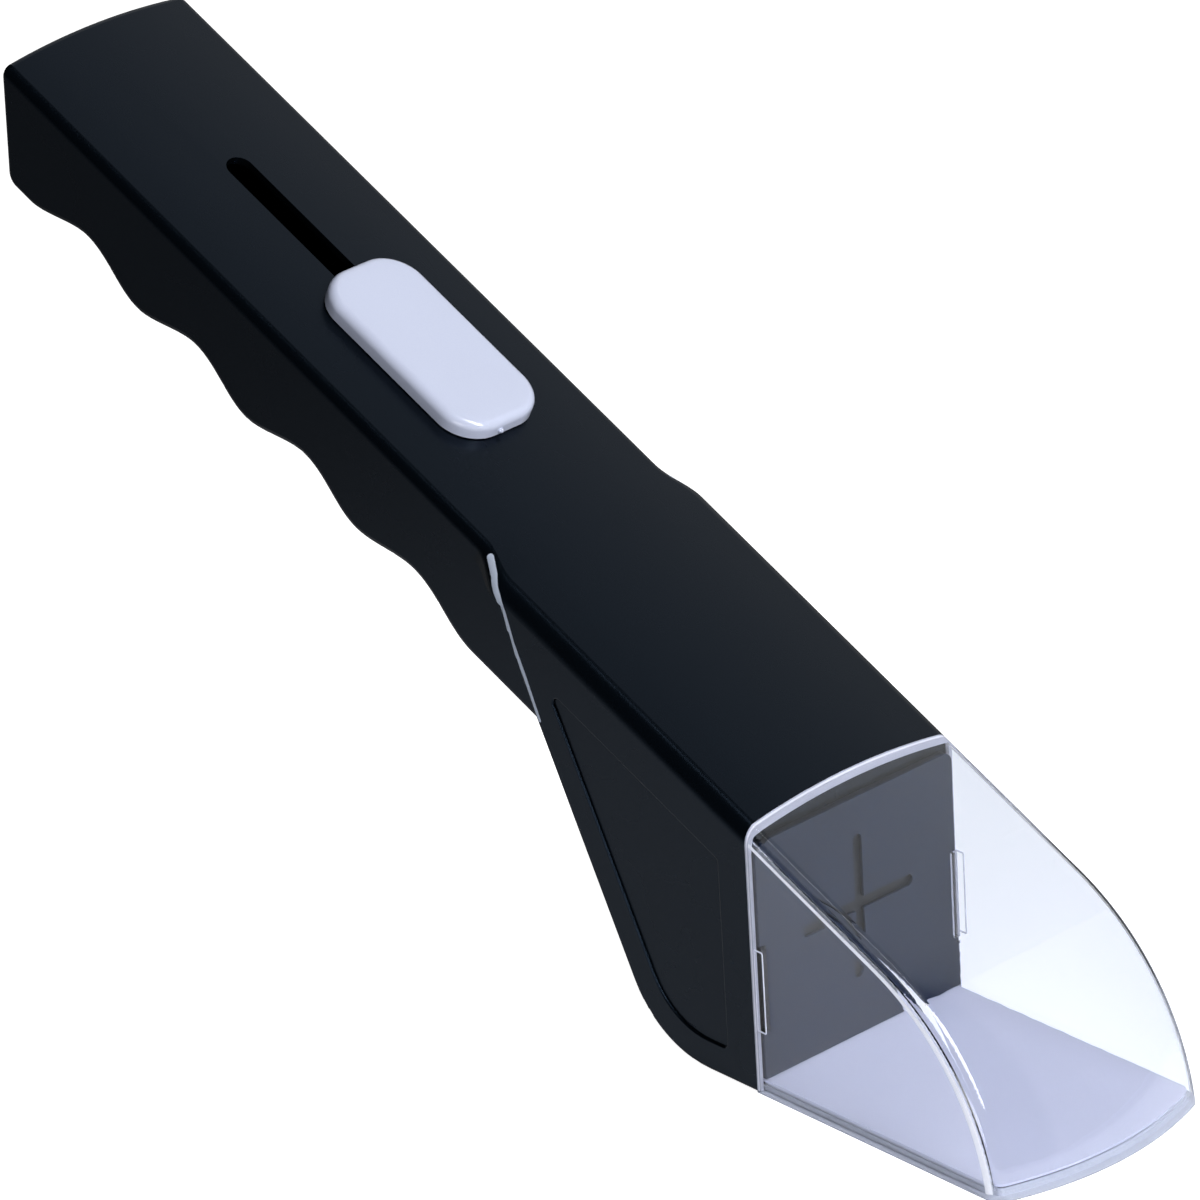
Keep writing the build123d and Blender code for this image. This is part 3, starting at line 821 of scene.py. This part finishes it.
@dataclass(frozen=True, kw_only=True)
class SteelFinish:
    """Plain turned steel with faint marks of varying gloss."""

    name: str
    colour: Colour
    roughness: float
    mark_scale: float = 2600.0
    mark_detail: float = 3.0
    mark_start: float = 0.3
    mark_end: float = 0.7
    darkest: float = 0.7
    glossiest: float = 0.7
    dullest: float = 1.3

    def material(self) -> Material:
        """The finished material: metal whose colour and roughness vary with a fine noise."""
        sheet = MaterialSheet(self.name, {"Metallic": 1.0})
        marks = sheet.noise(sheet.place, self.mark_scale, self.mark_detail)
        darker = tuple(self.darkest * part for part in self.colour)
        sheet.link(sheet.blend(marks, self.colour, darker), sheet.shader.inputs["Base Color"])
        low, high = self.roughness * self.glossiest, self.roughness * self.dullest
        rough = sheet.spread(marks, low, high, self.mark_start, self.mark_end)
        sheet.link(rough, sheet.shader.inputs["Roughness"])
        return sheet.material


# this finish paints a highlight up the rear edge of each cheek
HOUSING_BLACK = HousingFinish(
    name="satin_black_housing",
    colour=(0.0009, 0.0017, 0.0028), shade=(0.0013, 0.0023, 0.0036), tint=(0.42, 0.64, 1.0),
    roughness=0.27, specular=0.28, bump=0.12, smear=0.08, hairlines=0.05,
)
# this finish paints shade on the floor of the cross recess
WALL_SLATE = CrossWallFinish(
    name="slate_wall",
    colour=(0.004, 0.0105, 0.0285), shade=(0.0035, 0.009, 0.0245),
    roughness=0.45, specular=0.35, bump=0.2,
)
INNER_DARK = PlasticFinish(
    name="plain_dark_inner",
    colour=(0.012, 0.014, 0.018), shade=(0.018, 0.02, 0.025),
    roughness=0.5, specular=0.3,
)
BUTTON_PALE = PlasticFinish(
    name="glossy_pale_button",
    colour=(0.71, 0.765, 0.965), shade=(0.69, 0.745, 0.95),
    roughness=0.16, specular=0.5, coat=0.4, grain=0.15, waves=0.3, bump=0.08, smear=0.05, hairlines=0.04,
)
SHEET_LAVENDER = PlasticFinish(
    name="lavender_sheet",
    colour=(0.45, 0.475, 0.62), shade=(0.43, 0.455, 0.6),
    roughness=0.32, specular=0.4, grain=0.4, waves=0.4, bump=0.1, smear=0.1,
)
# painted light: the pale band and its bright middle line stand for light in the clear wall's end
RIM_PAINTED_LIGHT = RimFinish(
    name="rim_painted_light",
    colour=(0.4, 0.42, 0.52), shade=(0.36, 0.38, 0.47),
    roughness=0.3, specular=0.5, grain=0.5, bump=0.2,
)
# painted light: this pale colour stands for the brightness of the clear walls' foot, lightened where it
# lies in shade
MOUTH_RIM_PAINTED_LIGHT = PlasticFinish(
    name="mouth_rim_painted_light",
    colour=(0.5, 0.53, 0.62), shade=(0.4, 0.43, 0.53),
    roughness=0.3, specular=0.4, grain=0.6, bump=0.2,
)
# painted highlight: this pale colour stands for the bright lines of light along the chamber's rounded edges
CREASE_PAINTED_HIGHLIGHT = PlasticFinish(
    name="crease_painted_highlight",
    colour=(0.78, 0.79, 0.85), shade=(0.73, 0.75, 0.82),
    roughness=0.2, specular=0.5, grain=0.2, bump=0.1,
)
CLEAR_PLASTIC = ClearFinish(
    name="clear_chamber_plastic",
    tint=(0.965, 0.975, 1.0), ior=1.46,
    roughness=0.012, grain=0.0, waves=0.25, bump=0.2, bump_depth=0.0002, smear=0.006, hairlines=0.02,
)
# painted highlight: this pale colour stands for light along the edges of the snap tongues
TONGUE_EDGE_PAINTED_HIGHLIGHT = PlasticFinish(
    name="tongue_edge_painted_highlight",
    colour=(0.75, 0.77, 0.88), shade=(0.7, 0.72, 0.84),
    roughness=0.2, specular=0.5, grain=0.3, bump=0.1,
)
SCREW_STEEL = SteelFinish(name="plain_screw_steel", colour=(0.55, 0.56, 0.58), roughness=0.3)


# The sub-assemblies


@dataclass
class SubAssembly:
    """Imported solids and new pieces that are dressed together."""

    form: TrapForm
    made: list[Piece] = field(default_factory=list)

    def dress(self, node: str, material: Material) -> None:
        """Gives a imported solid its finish.

        Args:
            node: The solid's name.
            material: The finish.
        """
        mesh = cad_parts[node].data
        mesh.materials.clear()
        mesh.materials.append(material)
        LOG.info("dressed %s with %s", node, material.name)

    def add(self, piece: Piece, material: Material, body: Body, slot: Slot) -> None:
        """Dresses a new piece and lets it ride on its body.

        Args:
            piece: The new piece.
            material: Its finish.
            body: The body that it moves with.
            slot: Not used.
        """
        piece.data.materials.append(material)
        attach(piece, body.value)
        self.made.append(piece)
        LOG.info("made %s, %d faces", piece.name, len(piece.data.polygons))


@dataclass
class Housing(SubAssembly):
    """The two black shells, the dark parts inside them and the steel screws."""

    dressed: tuple[tuple[object, tuple[str, ...]], ...] = (
        (HOUSING_BLACK, ("top_shell", "bottom_shell")),
        (INNER_DARK, ("left_sheet_track", "right_sheet_track", "slide_carriage", "sheet_clamp")),
        (SCREW_STEEL, ("shell_screws", "clamp_screws", "button_screw")),
    )

    def build(self) -> None:
        """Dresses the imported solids."""
        for finish, nodes in self.dressed:
            material = finish.material()
            for node in nodes:
                self.dress(node, material)


@dataclass
class Chamber(SubAssembly):
    """The clear chamber with its rims, painted highlights along its edges and snap tongues, and the wall
    behind it.
    """

    rim_width: float = 0.0008
    rim_skin: float = 0.00006
    rim_foot: float = 0.0004
    rim_turn: float = 0.8
    side_points: int = 40
    corner_points: int = 14
    arch_points: int = 24
    tongue_low: float = 0.0122
    tongue_high: float = 0.0277
    tongue_back: float = 0.0008
    tongue_front: float = 0.0028
    tongue_corner: float = 0.0003
    edge_radius: float = 0.00017
    edge_sharp: float = math.radians(60)
    loop_points: int = 48
    edge_points: int = 12
    nose_start: float = 0.035
    nose_radius: float = 0.0495
    mouth_inset: float = 0.00274
    mouth_thickness: float = 0.00016
    mouth_points: tuple[int, int, int] = (12, 10, 20)
    slope_step: float = 0.1
    ledge_top: float = 0.00154
    crease_skin: float = 0.00005
    crease_start: float = math.radians(9)
    crease_end: float = math.radians(19)
    crease_growth: float = math.radians(13)
    crease_points: tuple[int, int, int] = (30, 50, 5)

    def build(self) -> None:
        """Dresses the cover and the wall and makes the rims and the edge lines, whose pale colours are
        painted light.
        """
        self.dress("chamber_cover", CLEAR_PLASTIC.material())
        self.dress("rear_wall", WALL_SLATE.material())
        for shape, finish in (
            (self.rim, RIM_PAINTED_LIGHT),
            (self.tongue_edges, TONGUE_EDGE_PAINTED_HIGHLIGHT),
            (self.mouth_rim, MOUTH_RIM_PAINTED_LIGHT),
            (self.crease_highlights, CREASE_PAINTED_HIGHLIGHT),
        ):
            self.add(shape(), finish.material(), Body.HOUSING, Slot.CLEAR_COVER)

    @property
    def nose_centre(self) -> np.ndarray:
        """Centre of the nose's circle in side view, as X and Z."""
        return np.array(self.form.spine(-self.nose_start, self.nose_radius))

    def section(self, inset: float, corner: float) -> Pair:
        """The chamber's outline across the spine: side, rounded corner, arch and the same again.

        Args:
            inset: How far the outline lies inside the outer one.
            corner: Radius of its rounded corners.

        Returns:
            Places across and depths along the outline, from the right foot to the left foot.
        """
        form = self.form
        skin = form.crown_radius - inset
        centre_across, centre_depth = form.corner_centre(inset, corner)
        lean = math.asin(centre_across / (skin - corner))
        foot_depth = (form.seam_top[1] - self.rim_foot) * form.seam_rate
        side = np.linspace(foot_depth, centre_depth, self.side_points, endpoint=False)
        turn = np.linspace(math.pi / 2, lean, self.corner_points, endpoint=False)
        arch = np.linspace(lean, 0.0, self.arch_points)
        half = np.full(side.shape, form.head_half - inset)
        across = np.concatenate([half, centre_across + corner * np.sin(turn), skin * np.sin(arch)])
        top = form.crown_radius - form.crown - skin * np.cos(arch)
        depth = np.concatenate([side, centre_depth - corner * np.cos(turn), top])
        return mirrored(-across, -1), mirrored(depth)

    def rim(self) -> Piece:
        """The end of the clear wall along the seam, a pale band whose colour is painted light.

        The outline on the seam plane is carried forward by the rim's width. Its top follows the
        spine's slope and its sides stay level, with a smooth change from rim_turn of its height on.
        """
        form = self.form
        outer = (self.rim_skin, form.corner_radius - self.rim_skin)
        inner = (form.clear_wall - self.rim_skin, form.corner_radius * form.inner_corner_share)
        rings = []
        for (inset, corner), shift in (
            (outer, 0.0),
            (outer, self.rim_width),
            (inner, self.rim_width),
            (inner, 0.0),
        ):
            across, depth = self.section(inset, corner)
            x, z = form.on_seam(depth)
            start = z.max() * self.rim_turn
            rise = np.clip((z - start) / (z.max() - start), 0, 1)
            drop = shift * math.tan(form.spine_slope) * rise * rise * (3 - 2 * rise)
            rings.append(placed(x + shift, across, z - drop))
        return outward_solid("chamber_rim", [closed_tube(np.stack(rings, axis=1))])

    def mouth_line(self, inset: float) -> Pair:
        """The chamber's plan near the mouth: side, rounded corner, bowed nose and the same again.

        The nose's front is c + sqrt((R - inset)^2 - z^2) + shift(y), where shift is the arch's rise
        over the sine of the spine's slope. The corner's circle touches the side and the nose, whose
        slope across is taken as even there, as it is over the corner's first slope_step.

        Args:
            inset: How far the line lies inside the outer one.

        Returns:
            X and Y along the line, from one end at the seam round the nose to the other.
        """
        form = self.form
        half = form.head_half - inset
        corner = form.corner_radius - inset
        centre = self.nose_centre
        reach = centre[0] + math.sqrt((self.nose_radius - inset) ** 2 - centre[1] ** 2)

        def nose(across: np.ndarray) -> np.ndarray:
            """X of the nose's front at places across."""
            return reach - form.arch_depth(across) / form.outward[0]

        step = corner * self.slope_step
        turn = math.atan((nose(half - corner) - nose(half - corner + step)) / step)
        start = half - corner * (1 - math.sin(turn))
        corner_x = nose(start) - corner * math.cos(turn)
        side, bend, front = self.mouth_points
        turns = np.linspace(math.pi / 2, turn, bend)
        side_x = np.linspace(form.seam_foot + self.rim_skin, corner_x, side, endpoint=False)
        front_y = np.linspace(start, 0.0, front)[1:]
        x = np.concatenate([side_x, corner_x + corner * np.cos(turns), nose(front_y)])
        y = np.concatenate([np.full(side_x.shape, half), half - corner * (1 - np.sin(turns)), front_y])
        return mirrored(x), mirrored(y, -1)

    def mouth_rim(self) -> Piece:
        """A pale band round the foot of the clear walls and up the inner side of their ledge, its colour
        painted light.

        An L-shaped section, given as insets and heights, is carried round the mouth.
        """
        outer, inner = self.rim_skin, self.mouth_inset
        low, middle, high = self.rim_skin, self.rim_skin + self.mouth_thickness, self.ledge_top
        step = inner - self.mouth_thickness
        section = ((outer, low), (outer, middle), (step, middle), (step, high), (inner, high), (inner, low))
        lines = [placed(*self.mouth_line(inset), height) for inset, height in section]
        return outward_solid("mouth_rim", [closed_tube(np.stack(lines, axis=1))])

    def crease_highlight(self, side: int) -> Shell:
        """A painted highlight along one rounded edge of the chamber, a pale thin band under its skin.

        Its point at an angle t from the side lies at c + r cos t across and at d - r sin t in
        depth, with c and d the corner's centre. The section is carried along the spine and then
        round the nose, whose radius shrinks by the point's inset. The band gets broader by
        crease_growth times the square of the share of the way.

        Args:
            side: 1 for the left edge and -1 for the right one.

        Returns:
            The band's points and faces.
        """
        form = self.form
        centre_across, centre_depth = form.corner_centre(0.0, form.corner_radius)
        centre = self.nose_centre
        straight, bend, columns = self.crease_points
        along = -np.linspace(self.rim_width * 2, self.nose_start, straight)[:, None]
        foot = math.asin((self.ledge_top - centre[1]) / self.nose_radius)
        angle = np.linspace(math.pi / 2 - form.spine_slope, foot, bend)[1:, None]
        growth = np.linspace(0, 1, len(along) + len(angle))[:, None] ** 2
        end = self.crease_end + self.crease_growth * growth
        turn = self.crease_start + np.linspace(0, 1, columns)[None, :] * (end - self.crease_start)
        grids = []
        for skin in (self.crease_skin, 2 * self.crease_skin):
            radius = form.corner_radius - skin
            across = centre_across + radius * np.cos(turn)
            depth = centre_depth - radius * np.sin(turn)
            rise = form.arch_depth(across)
            x, z = form.spine(along, depth[:straight])
            bent = self.nose_radius - (depth - rise)[straight:]
            nose_x = centre[0] + bent * np.cos(angle) - rise[straight:] / form.outward[0]
            nose_z = centre[1] + bent * np.sin(angle)
            grids.append(placed(np.concatenate([x, nose_x]), side * across, np.concatenate([z, nose_z])))
        return closed_slab(*grids)

    def crease_highlights(self) -> Piece:
        """The painted highlights along both rounded edges."""
        return outward_solid("crease_highlights", [self.crease_highlight(side) for side in (-1, 1)])

    def tongue_edges(self) -> Piece:
        """The raised edge round each snap tongue, on both sides of the chamber, pale as a painted
        highlight.

        A circle of the edge's radius is carried once round a rectangle with round corners, which
        leans with the seam.
        """
        form = self.form
        reach = (self.tongue_front - self.tongue_back) / 2
        rise = (self.tongue_high - self.tongue_low) / 2
        ring = round_turn(self.edge_points)
        radius = self.tongue_corner + self.edge_radius * np.cos(ring)
        core = (reach - self.tongue_corner, rise - self.tongue_corner)
        along, up = round_rectangle(core, radius, self.loop_points)
        z = self.tongue_low + rise + up
        x = form.seam_foot - form.seam_lean * z + self.tongue_back + reach + along
        across = form.head_half - self.rim_skin - self.edge_radius * (1 - np.sin(ring))
        faces = (quads(self.loop_points + 1, self.edge_points, wrap=True) % x.size).tolist()
        shells = []
        for side in (-1, 1):
            shells.append((placed(x, side * across, z).reshape(-1, 3), faces))
        return outward_solid("tongue_edges", shells, self.edge_sharp)


@dataclass
class ClosingSheet(SubAssembly):
    """The thin sheet that closes the mouth, in the stretches that move differently.

    The floor stretch and the stretch round the heel ride on the housing, and the tail moves with the
    slider.
    """

    thickness: float = 0.0005
    floor_height: float = 0.0019
    shoulder: float = -0.002
    taper: float = 0.012
    tail_half: float = 0.008
    tail_depth: float = 0.0041
    bend_radius: float = 0.04
    tail_start: float = 0.092
    tail_end: float = 0.124
    corner: float = 0.0016
    travel: float = 0.057
    floor_rows: int = 60
    floor_columns: int = 61
    level_points: int = 5
    heel_points: int = 24
    ramp_points: int = 12
    bend_points: int = 16
    run_points: int = 10
    tail_points: int = 12
    band_columns: int = 9

    def build(self) -> None:
        """Makes the three stretches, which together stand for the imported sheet."""
        material = SHEET_LAVENDER.material()
        for piece, body in (
            (self.floor_stretch(), Body.HOUSING),
            (self.heel_stretch(), Body.HOUSING),
            (self.tail_stretch(), Body.SLIDER),
        ):
            self.add(piece, material, body, Slot.SHEET)
            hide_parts("closing_sheet")
        floor = self.made[0]
        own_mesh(floor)

    @property
    def blade_half(self) -> float:
        """Half width of the stretch that closes the mouth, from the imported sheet."""
        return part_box("closing_sheet")[1].y

    def front_edge(self, across: np.ndarray) -> np.ndarray:
        """X of the sheet's front edge, which bows forward and has rounded tips.

        A parabola through the middle and the tips, less r - sqrt(r^2 - t^2) over the last corner
        radius r, where t is how far a place lies into it.

        Args:
            across: Places across.

        Returns:
            X at each place.
        """
        half = self.blade_half
        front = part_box("closing_sheet")[1].x
        bow = (self.form.arch_depth(half) + self.form.crown) / self.form.outward[0]
        into = np.clip(np.abs(across) - (half - self.corner), 0, self.corner)
        tip = self.corner - np.sqrt(self.corner**2 - into**2)
        return front - bow * (across / half) ** 2 - tip

    def floor_stretch(self) -> Piece:
        """A flat grid from the shoulder to the front edge, closer together towards its rim."""
        across = self.blade_half * np.sin(np.linspace(-math.pi / 2, math.pi / 2, self.floor_columns))
        share = np.sin(np.linspace(0, math.pi / 2, self.floor_rows))[:, None]
        x = self.shoulder + share * (self.front_edge(across) - self.shoulder)[None, :]
        top = placed(x, across, self.floor_height + self.thickness)
        bottom = placed(x, across, self.floor_height)
        return outward_solid("sheet_floor", [closed_slab(top, bottom)])

    def line(self, lift: float) -> Pair:
        """Side view of the sheet from the shoulder round the heel and up to its tail.

        A level run, an arc round the heel's centre, a run up the ramp, an arc of the bend's radius
        and a run along the spine.

        Args:
            lift: Height of the line inside the sheet's thickness.

        Returns:
            X and Z along the line.
        """
        form = self.form
        inset = self.floor_height + lift
        centre = np.array([form.seam_foot - form.heel_flat, form.heel_radius])
        radius = form.heel_radius - inset
        turn = np.linspace(0, form.ramp_slope, self.heel_points)
        heel = np.stack([centre[0] - radius * np.sin(turn), centre[1] - radius * np.cos(turn)], axis=-1)
        up = np.array([-math.cos(form.ramp_slope), math.sin(form.ramp_slope)])
        depth = self.tail_depth + self.thickness - lift
        top = np.array(form.spine(0.0, depth))
        steps = np.linalg.solve(np.stack([up, form.forward], axis=1), top - heel[-1])
        meeting = heel[-1] + up * steps[0]
        angle = form.ramp_slope - form.spine_slope
        bend = self.bend_radius + lift
        tangent = bend * math.tan(angle / 2)
        start = meeting - up * tangent
        across = np.array([-up[1], up[0]])
        turn = np.linspace(0, angle, self.bend_points)
        bent = start + np.outer(bend * np.sin(turn), up) + np.outer(bend * (1 - np.cos(turn)), across)
        last = np.array(form.spine(self.tail_start, depth))
        level_x = np.linspace(self.shoulder, centre[0], self.level_points)[:-1]
        level = np.stack([level_x, np.full(level_x.shape, inset)], axis=-1)
        ramp = heel[-1] + np.linspace(0, 1, self.ramp_points)[1:-1, None] * (start - heel[-1])
        run = bent[-1] + np.linspace(0, 1, self.run_points)[1:, None] * (last - bent[-1])
        x, z = np.concatenate([level, heel, ramp, bent, run]).T
        return x, z

    def band(self, name: str, lower: tuple, upper: tuple) -> Piece:
        """A band between two side lines, as wide as the sheet is at each place along X.

        Args:
            name: The piece's name.
            lower: X and Z of the lower line.
            upper: X and Z of the upper line.

        Returns:
            The new piece.
        """
        grids = []
        taper = [self.shoulder - self.taper, self.shoulder]
        for x, z in (upper, lower):
            half = np.interp(x, taper, [self.tail_half, self.blade_half])
            across = np.linspace(-1, 1, self.band_columns)[None, :] * half[:, None]
            grids.append(placed(x[:, None], across, z[:, None]))
        return outward_solid(name, [closed_slab(*grids)])

    def heel_stretch(self) -> Piece:
        """The hidden stretch round the heel and up the ramp."""
        return self.band("sheet_heel", self.line(0.0), self.line(self.thickness))

    def tail_stretch(self) -> Piece:
        """The flat tail that the clamp holds."""
        along = np.linspace(self.tail_start, self.tail_end, self.tail_points)
        upper = self.form.spine(along, self.tail_depth)
        lower = self.form.spine(along, self.tail_depth + self.thickness)
        return self.band("sheet_tail", lower, upper)


@dataclass
class ThumbButton(SubAssembly):
    """The pale thumb button with its rolled edge, moulding nib and stem."""

    front: float = 0.0923
    length: float = 0.043
    width: float = 0.021
    height: float = 0.0033
    corner: float = 0.0075
    edge: float = 0.0016
    dish: float = 0.00025
    stem_middle: float = 0.1056
    stem_length: float = 0.0112
    stem_width: float = 0.0048
    stem_depth: float = 0.0039
    nib_across: float = -0.002
    nib_height: float = 0.001
    nib_radius: float = 0.0005
    nib_reach: float = 0.0007
    sharp: float = math.radians(50)
    outline_points: int = 120
    stem_points: int = 48
    nib_points: int = 20
    edge_rings: int = 9
    nib_rings: int = 5
    top_shares: tuple[float, ...] = (0.93, 0.8, 0.6, 0.4, 0.2, 0.03)

    def build(self) -> None:
        """Makes the button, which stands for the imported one."""
        piece = outward_solid("thumb_button", [self.cap(), self.stem(), self.nib()], self.sharp)
        self.add(piece, BUTTON_PALE.material(), Body.SLIDER, Slot.BUTTON)
        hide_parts("slide_button")

    @property
    def middle(self) -> float:
        """Length from the seam back to the button's middle."""
        return self.front + self.length / 2

    def ring(self, along: np.ndarray, across: np.ndarray, height: object) -> np.ndarray:
        """Points over the arched skin, at a height above it.

        Args:
            along: Places along, from the button's middle.
            across: Places across.
            height: Height above the skin, one for all places or one for each.

        Returns:
            The points, one row each.
        """
        depth = self.form.arch_depth(across) - self.form.gap - height
        x, z = self.form.spine(self.middle + along, depth)
        return placed(x, across, z)

    def cap(self) -> Shell:
        """Rings up the side, over the rolled edge and across the top to its middle.

        Over the edge the inset is e (1 - cos t) and the height h - e + e sin t. Over the top the
        last outline shrinks to its middle line, a little dished.
        """
        side = self.height - self.edge
        rows = [(0.0, 1.0, height) for height in (0.0, side / 2, side)]
        for turn in np.linspace(0, math.pi / 2, self.edge_rings + 1)[1:]:
            rows.append((self.edge * (1 - math.cos(turn)), 1.0, side + self.edge * math.sin(turn)))
        for share in self.top_shares:
            rows.append((self.edge, share, self.height - self.dish * (1 - share**2) ** 2))
        rings = []
        core = (self.length / 2 - self.corner, self.width / 2 - self.corner)
        for inset, share, height in rows:
            along, across = round_rectangle(core, self.corner - inset, self.outline_points)
            rings.append(self.ring(along * share, across * share, height))
        return closed_tube(np.stack(rings))

    def stem(self) -> Shell:
        """A slot-shaped post from the cap down through the slot to the carriage."""
        radius = self.stem_width / 2
        along, across = round_rectangle((self.stem_length / 2 - radius, 0.0), radius, self.stem_points)
        along += self.stem_middle - self.middle
        skin = self.form.arch_depth(across) - self.form.gap
        heights = (skin - self.stem_depth, self.edge / 2)
        return closed_tube(np.stack([self.ring(along, across, height) for height in heights]))

    def nib(self) -> Shell:
        """The small moulding nib on the front edge, a rounded peg along the spine.

        A half circle of the nib's radius ends a straight peg that starts inside the cap.
        """
        turn = round_turn(self.nib_points)
        skin = self.form.arch_depth(self.nib_across) - self.form.gap
        start = self.nib_reach - self.nib_radius
        profile = [(-self.nib_reach, self.nib_radius)]
        for angle in np.linspace(0, math.pi / 2, self.nib_rings + 1)[:-1]:
            profile.append((start + self.nib_radius * math.sin(angle), self.nib_radius * math.cos(angle)))
        rings = []
        for reach, radius in profile:
            across = self.nib_across + radius * np.cos(turn)
            depth = skin - self.nib_height - radius * np.sin(turn)
            x, z = self.form.spine(self.front - reach, depth)
            rings.append(placed(x, across, z))
        return closed_tube(np.stack(rings))


# Studio


@dataclass(frozen=True)
class SkyPatch:
    """A soft round patch of the dome, with its inner and outer angles in degrees."""

    direction: Place
    inner: float
    outer: float
    level: float


@dataclass(frozen=True)
class Softbox:
    """A rectangular area light that faces the origin, with its level and its rising side."""

    name: str
    place: Place
    size: tuple[float, float]
    watts: float

    def build(self) -> None:
        """Makes the light."""
        light = bpy.data.lights.new(self.name, "AREA")
        light.shape = "RECTANGLE"
        light.size, light.size_y = self.size
        light.energy = self.watts
        lamp = linked(self.name, light)
        lamp.location = self.place
        lamp.rotation_euler = Vector(self.place).to_track_quat("Z", "Y").to_euler()


@dataclass
class Studio:
    """A pale floor under a light tent that is open to a dark room on the near side."""

    floor_half: float = 4.0
    floor_drop: float = 0.0002
    near_floor: Colour = (0.93, 0.93, 0.93)
    far_floor: Colour = (0.3, 0.3, 0.3)
    floor_roughness: float = 0.9
    seen_colour: Colour = (1.0, 1.0, 1.0)
    seen_glow: float = 1.0
    near_glow: float = 0.6
    veil: Colour = (0.56, 0.62, 0.74)
    far_glow: float = 1.0
    sheet_middle: Place = (0.03, -0.03, 0.0)
    sheet_start: float = 0.12
    sheet_end: float = 0.34
    tent_light: float = 0.4
    tent_tint: Colour = (0.97, 0.985, 1.0)
    patches: tuple[SkyPatch, ...] = (
        SkyPatch(direction=(-0.3, 0.6, 0.72), inner=12, outer=40, level=0.62),
        SkyPatch(direction=(0.0, -1.0, 0.0), inner=110, outer=114, level=0.02),
    )
    lamps: tuple[Softbox, ...] = (
        Softbox(name="key_softbox", place=(1.35, -0.08, 1.35), size=(0.36, 1.5), watts=26.5),
        Softbox(name="arch_strip", place=(0.95, -0.04, 0.95), size=(0.1, 2.7), watts=4.0),
        Softbox(name="near_fill", place=(0.52, -1.17, 0.13), size=(0.6, 0.25), watts=3.2),
    )
    lens: float = 360.0
    sensor: float = 36.0
    far_clip: float = 20.0
    eye: Place = (1.2722, -1.3529, 1.0136)
    azimuth: float = math.radians(44.518)
    elevation: float = math.radians(26.58)

    def build(self) -> None:
        """Makes the floor, the light and the camera."""
        self.floor()
        self.world()
        for lamp in self.lamps:
            lamp.build()
        self.camera()

    def floor(self) -> None:
        """A flat square.

        A white sheet lies under the trap and fades into a greyer floor. What the camera sees is
        lifted to an even white.
        """
        half = self.floor_half
        corners = [(-half, -half), (half, -half), (half, half), (-half, half)]
        mesh = bpy.data.meshes.new("floor")
        mesh.from_pydata([(x, y, -self.floor_drop) for x, y in corners], [], [(0, 1, 2, 3)])
        piece = linked("floor", mesh)
        sheet = MaterialSheet("pale_floor", {"Roughness": self.floor_roughness, "Specular IOR Level": 0.0})
        shader = sheet.shader
        away = sheet.vector("DISTANCE", sheet.place, self.sheet_middle)
        share = sheet.spread(away, 0.0, 1.0, self.sheet_start, self.sheet_end)
        sheet.link(sheet.blend(share, self.near_floor, self.far_floor), shader.inputs["Base Color"])
        ray = sheet.node("ShaderNodeLightPath").outputs
        seen = sheet.maths("MULTIPLY", ray["Is Camera Ray"], self.seen_glow)
        passed = sheet.spread(share, self.near_glow, self.far_glow, 0.0, 1.0)
        passed = sheet.maths("MULTIPLY", ray["Is Transmission Ray"], passed)
        glow_colour = sheet.blend(ray["Is Transmission Ray"], self.seen_colour, self.veil)
        sheet.link(glow_colour, shader.inputs["Emission Color"])
        sheet.link(sheet.maths("MAXIMUM", seen, passed), shader.inputs["Emission Strength"])
        mesh.materials.append(sheet.material)

    def world(self) -> None:
        """An even dome with soft round patches.

        A patch's share rises smoothly from 0 to 1 as the cosine between a direction and its middle
        goes from that of its outer angle to that of its inner one. Where the camera sees the dome
        itself, it is an even white.
        """
        world = bpy.data.worlds.new("light_tent")
        bpy.context.scene.world = world
        world.use_nodes = True
        sheet = NodeSheet(world.node_tree)
        direction = sheet.node("ShaderNodeTexCoord").outputs["Generated"]
        strength: object = self.tent_light
        for patch in self.patches:
            facing = sheet.vector("DOT_PRODUCT", direction, Vector(patch.direction).normalized())
            edges = (math.cos(math.radians(angle)) for angle in (patch.outer, patch.inner))
            strength = sheet.spread(facing, strength, patch.level, *edges)
        seen = sheet.node("ShaderNodeLightPath").outputs["Is Camera Ray"]
        strength = sheet.maths("MAXIMUM", strength, seen)
        background = world.node_tree.nodes["Background"]
        background.inputs["Color"].default_value = (*self.tent_tint, 1.0)
        sheet.link(strength, background.inputs["Strength"])

    def camera(self) -> None:
        """A long lens that looks down the photograph's line of sight."""
        data = bpy.data.cameras.new("camera")
        data.lens = self.lens
        data.sensor_width = self.sensor
        data.clip_end = self.far_clip
        camera = linked("camera", data)
        level, rise = math.cos(self.elevation), math.sin(self.elevation)
        back = Vector((math.sin(self.azimuth) * level, -math.cos(self.azimuth) * level, rise))
        camera.location = self.eye
        camera.rotation_euler = back.to_track_quat("Z", "Y").to_euler()
        bpy.context.scene.camera = camera
        bpy.context.scene.view_settings.view_transform = "Standard"


def main() -> None:
    """Builds every sub-assembly in order and reports each piece."""
    logging.basicConfig(level=logging.INFO, format="%(name)s: %(message)s")
    form = TrapForm.from_frame()
    for assembly in (Housing(form), Chamber(form), ClosingSheet(form), ThumbButton(form)):
        assembly.build()
        LOG.info("%s: %d new pieces", type(assembly).__name__, len(assembly.made))
    Studio().build()


if __name__ == "__main__":
    main()
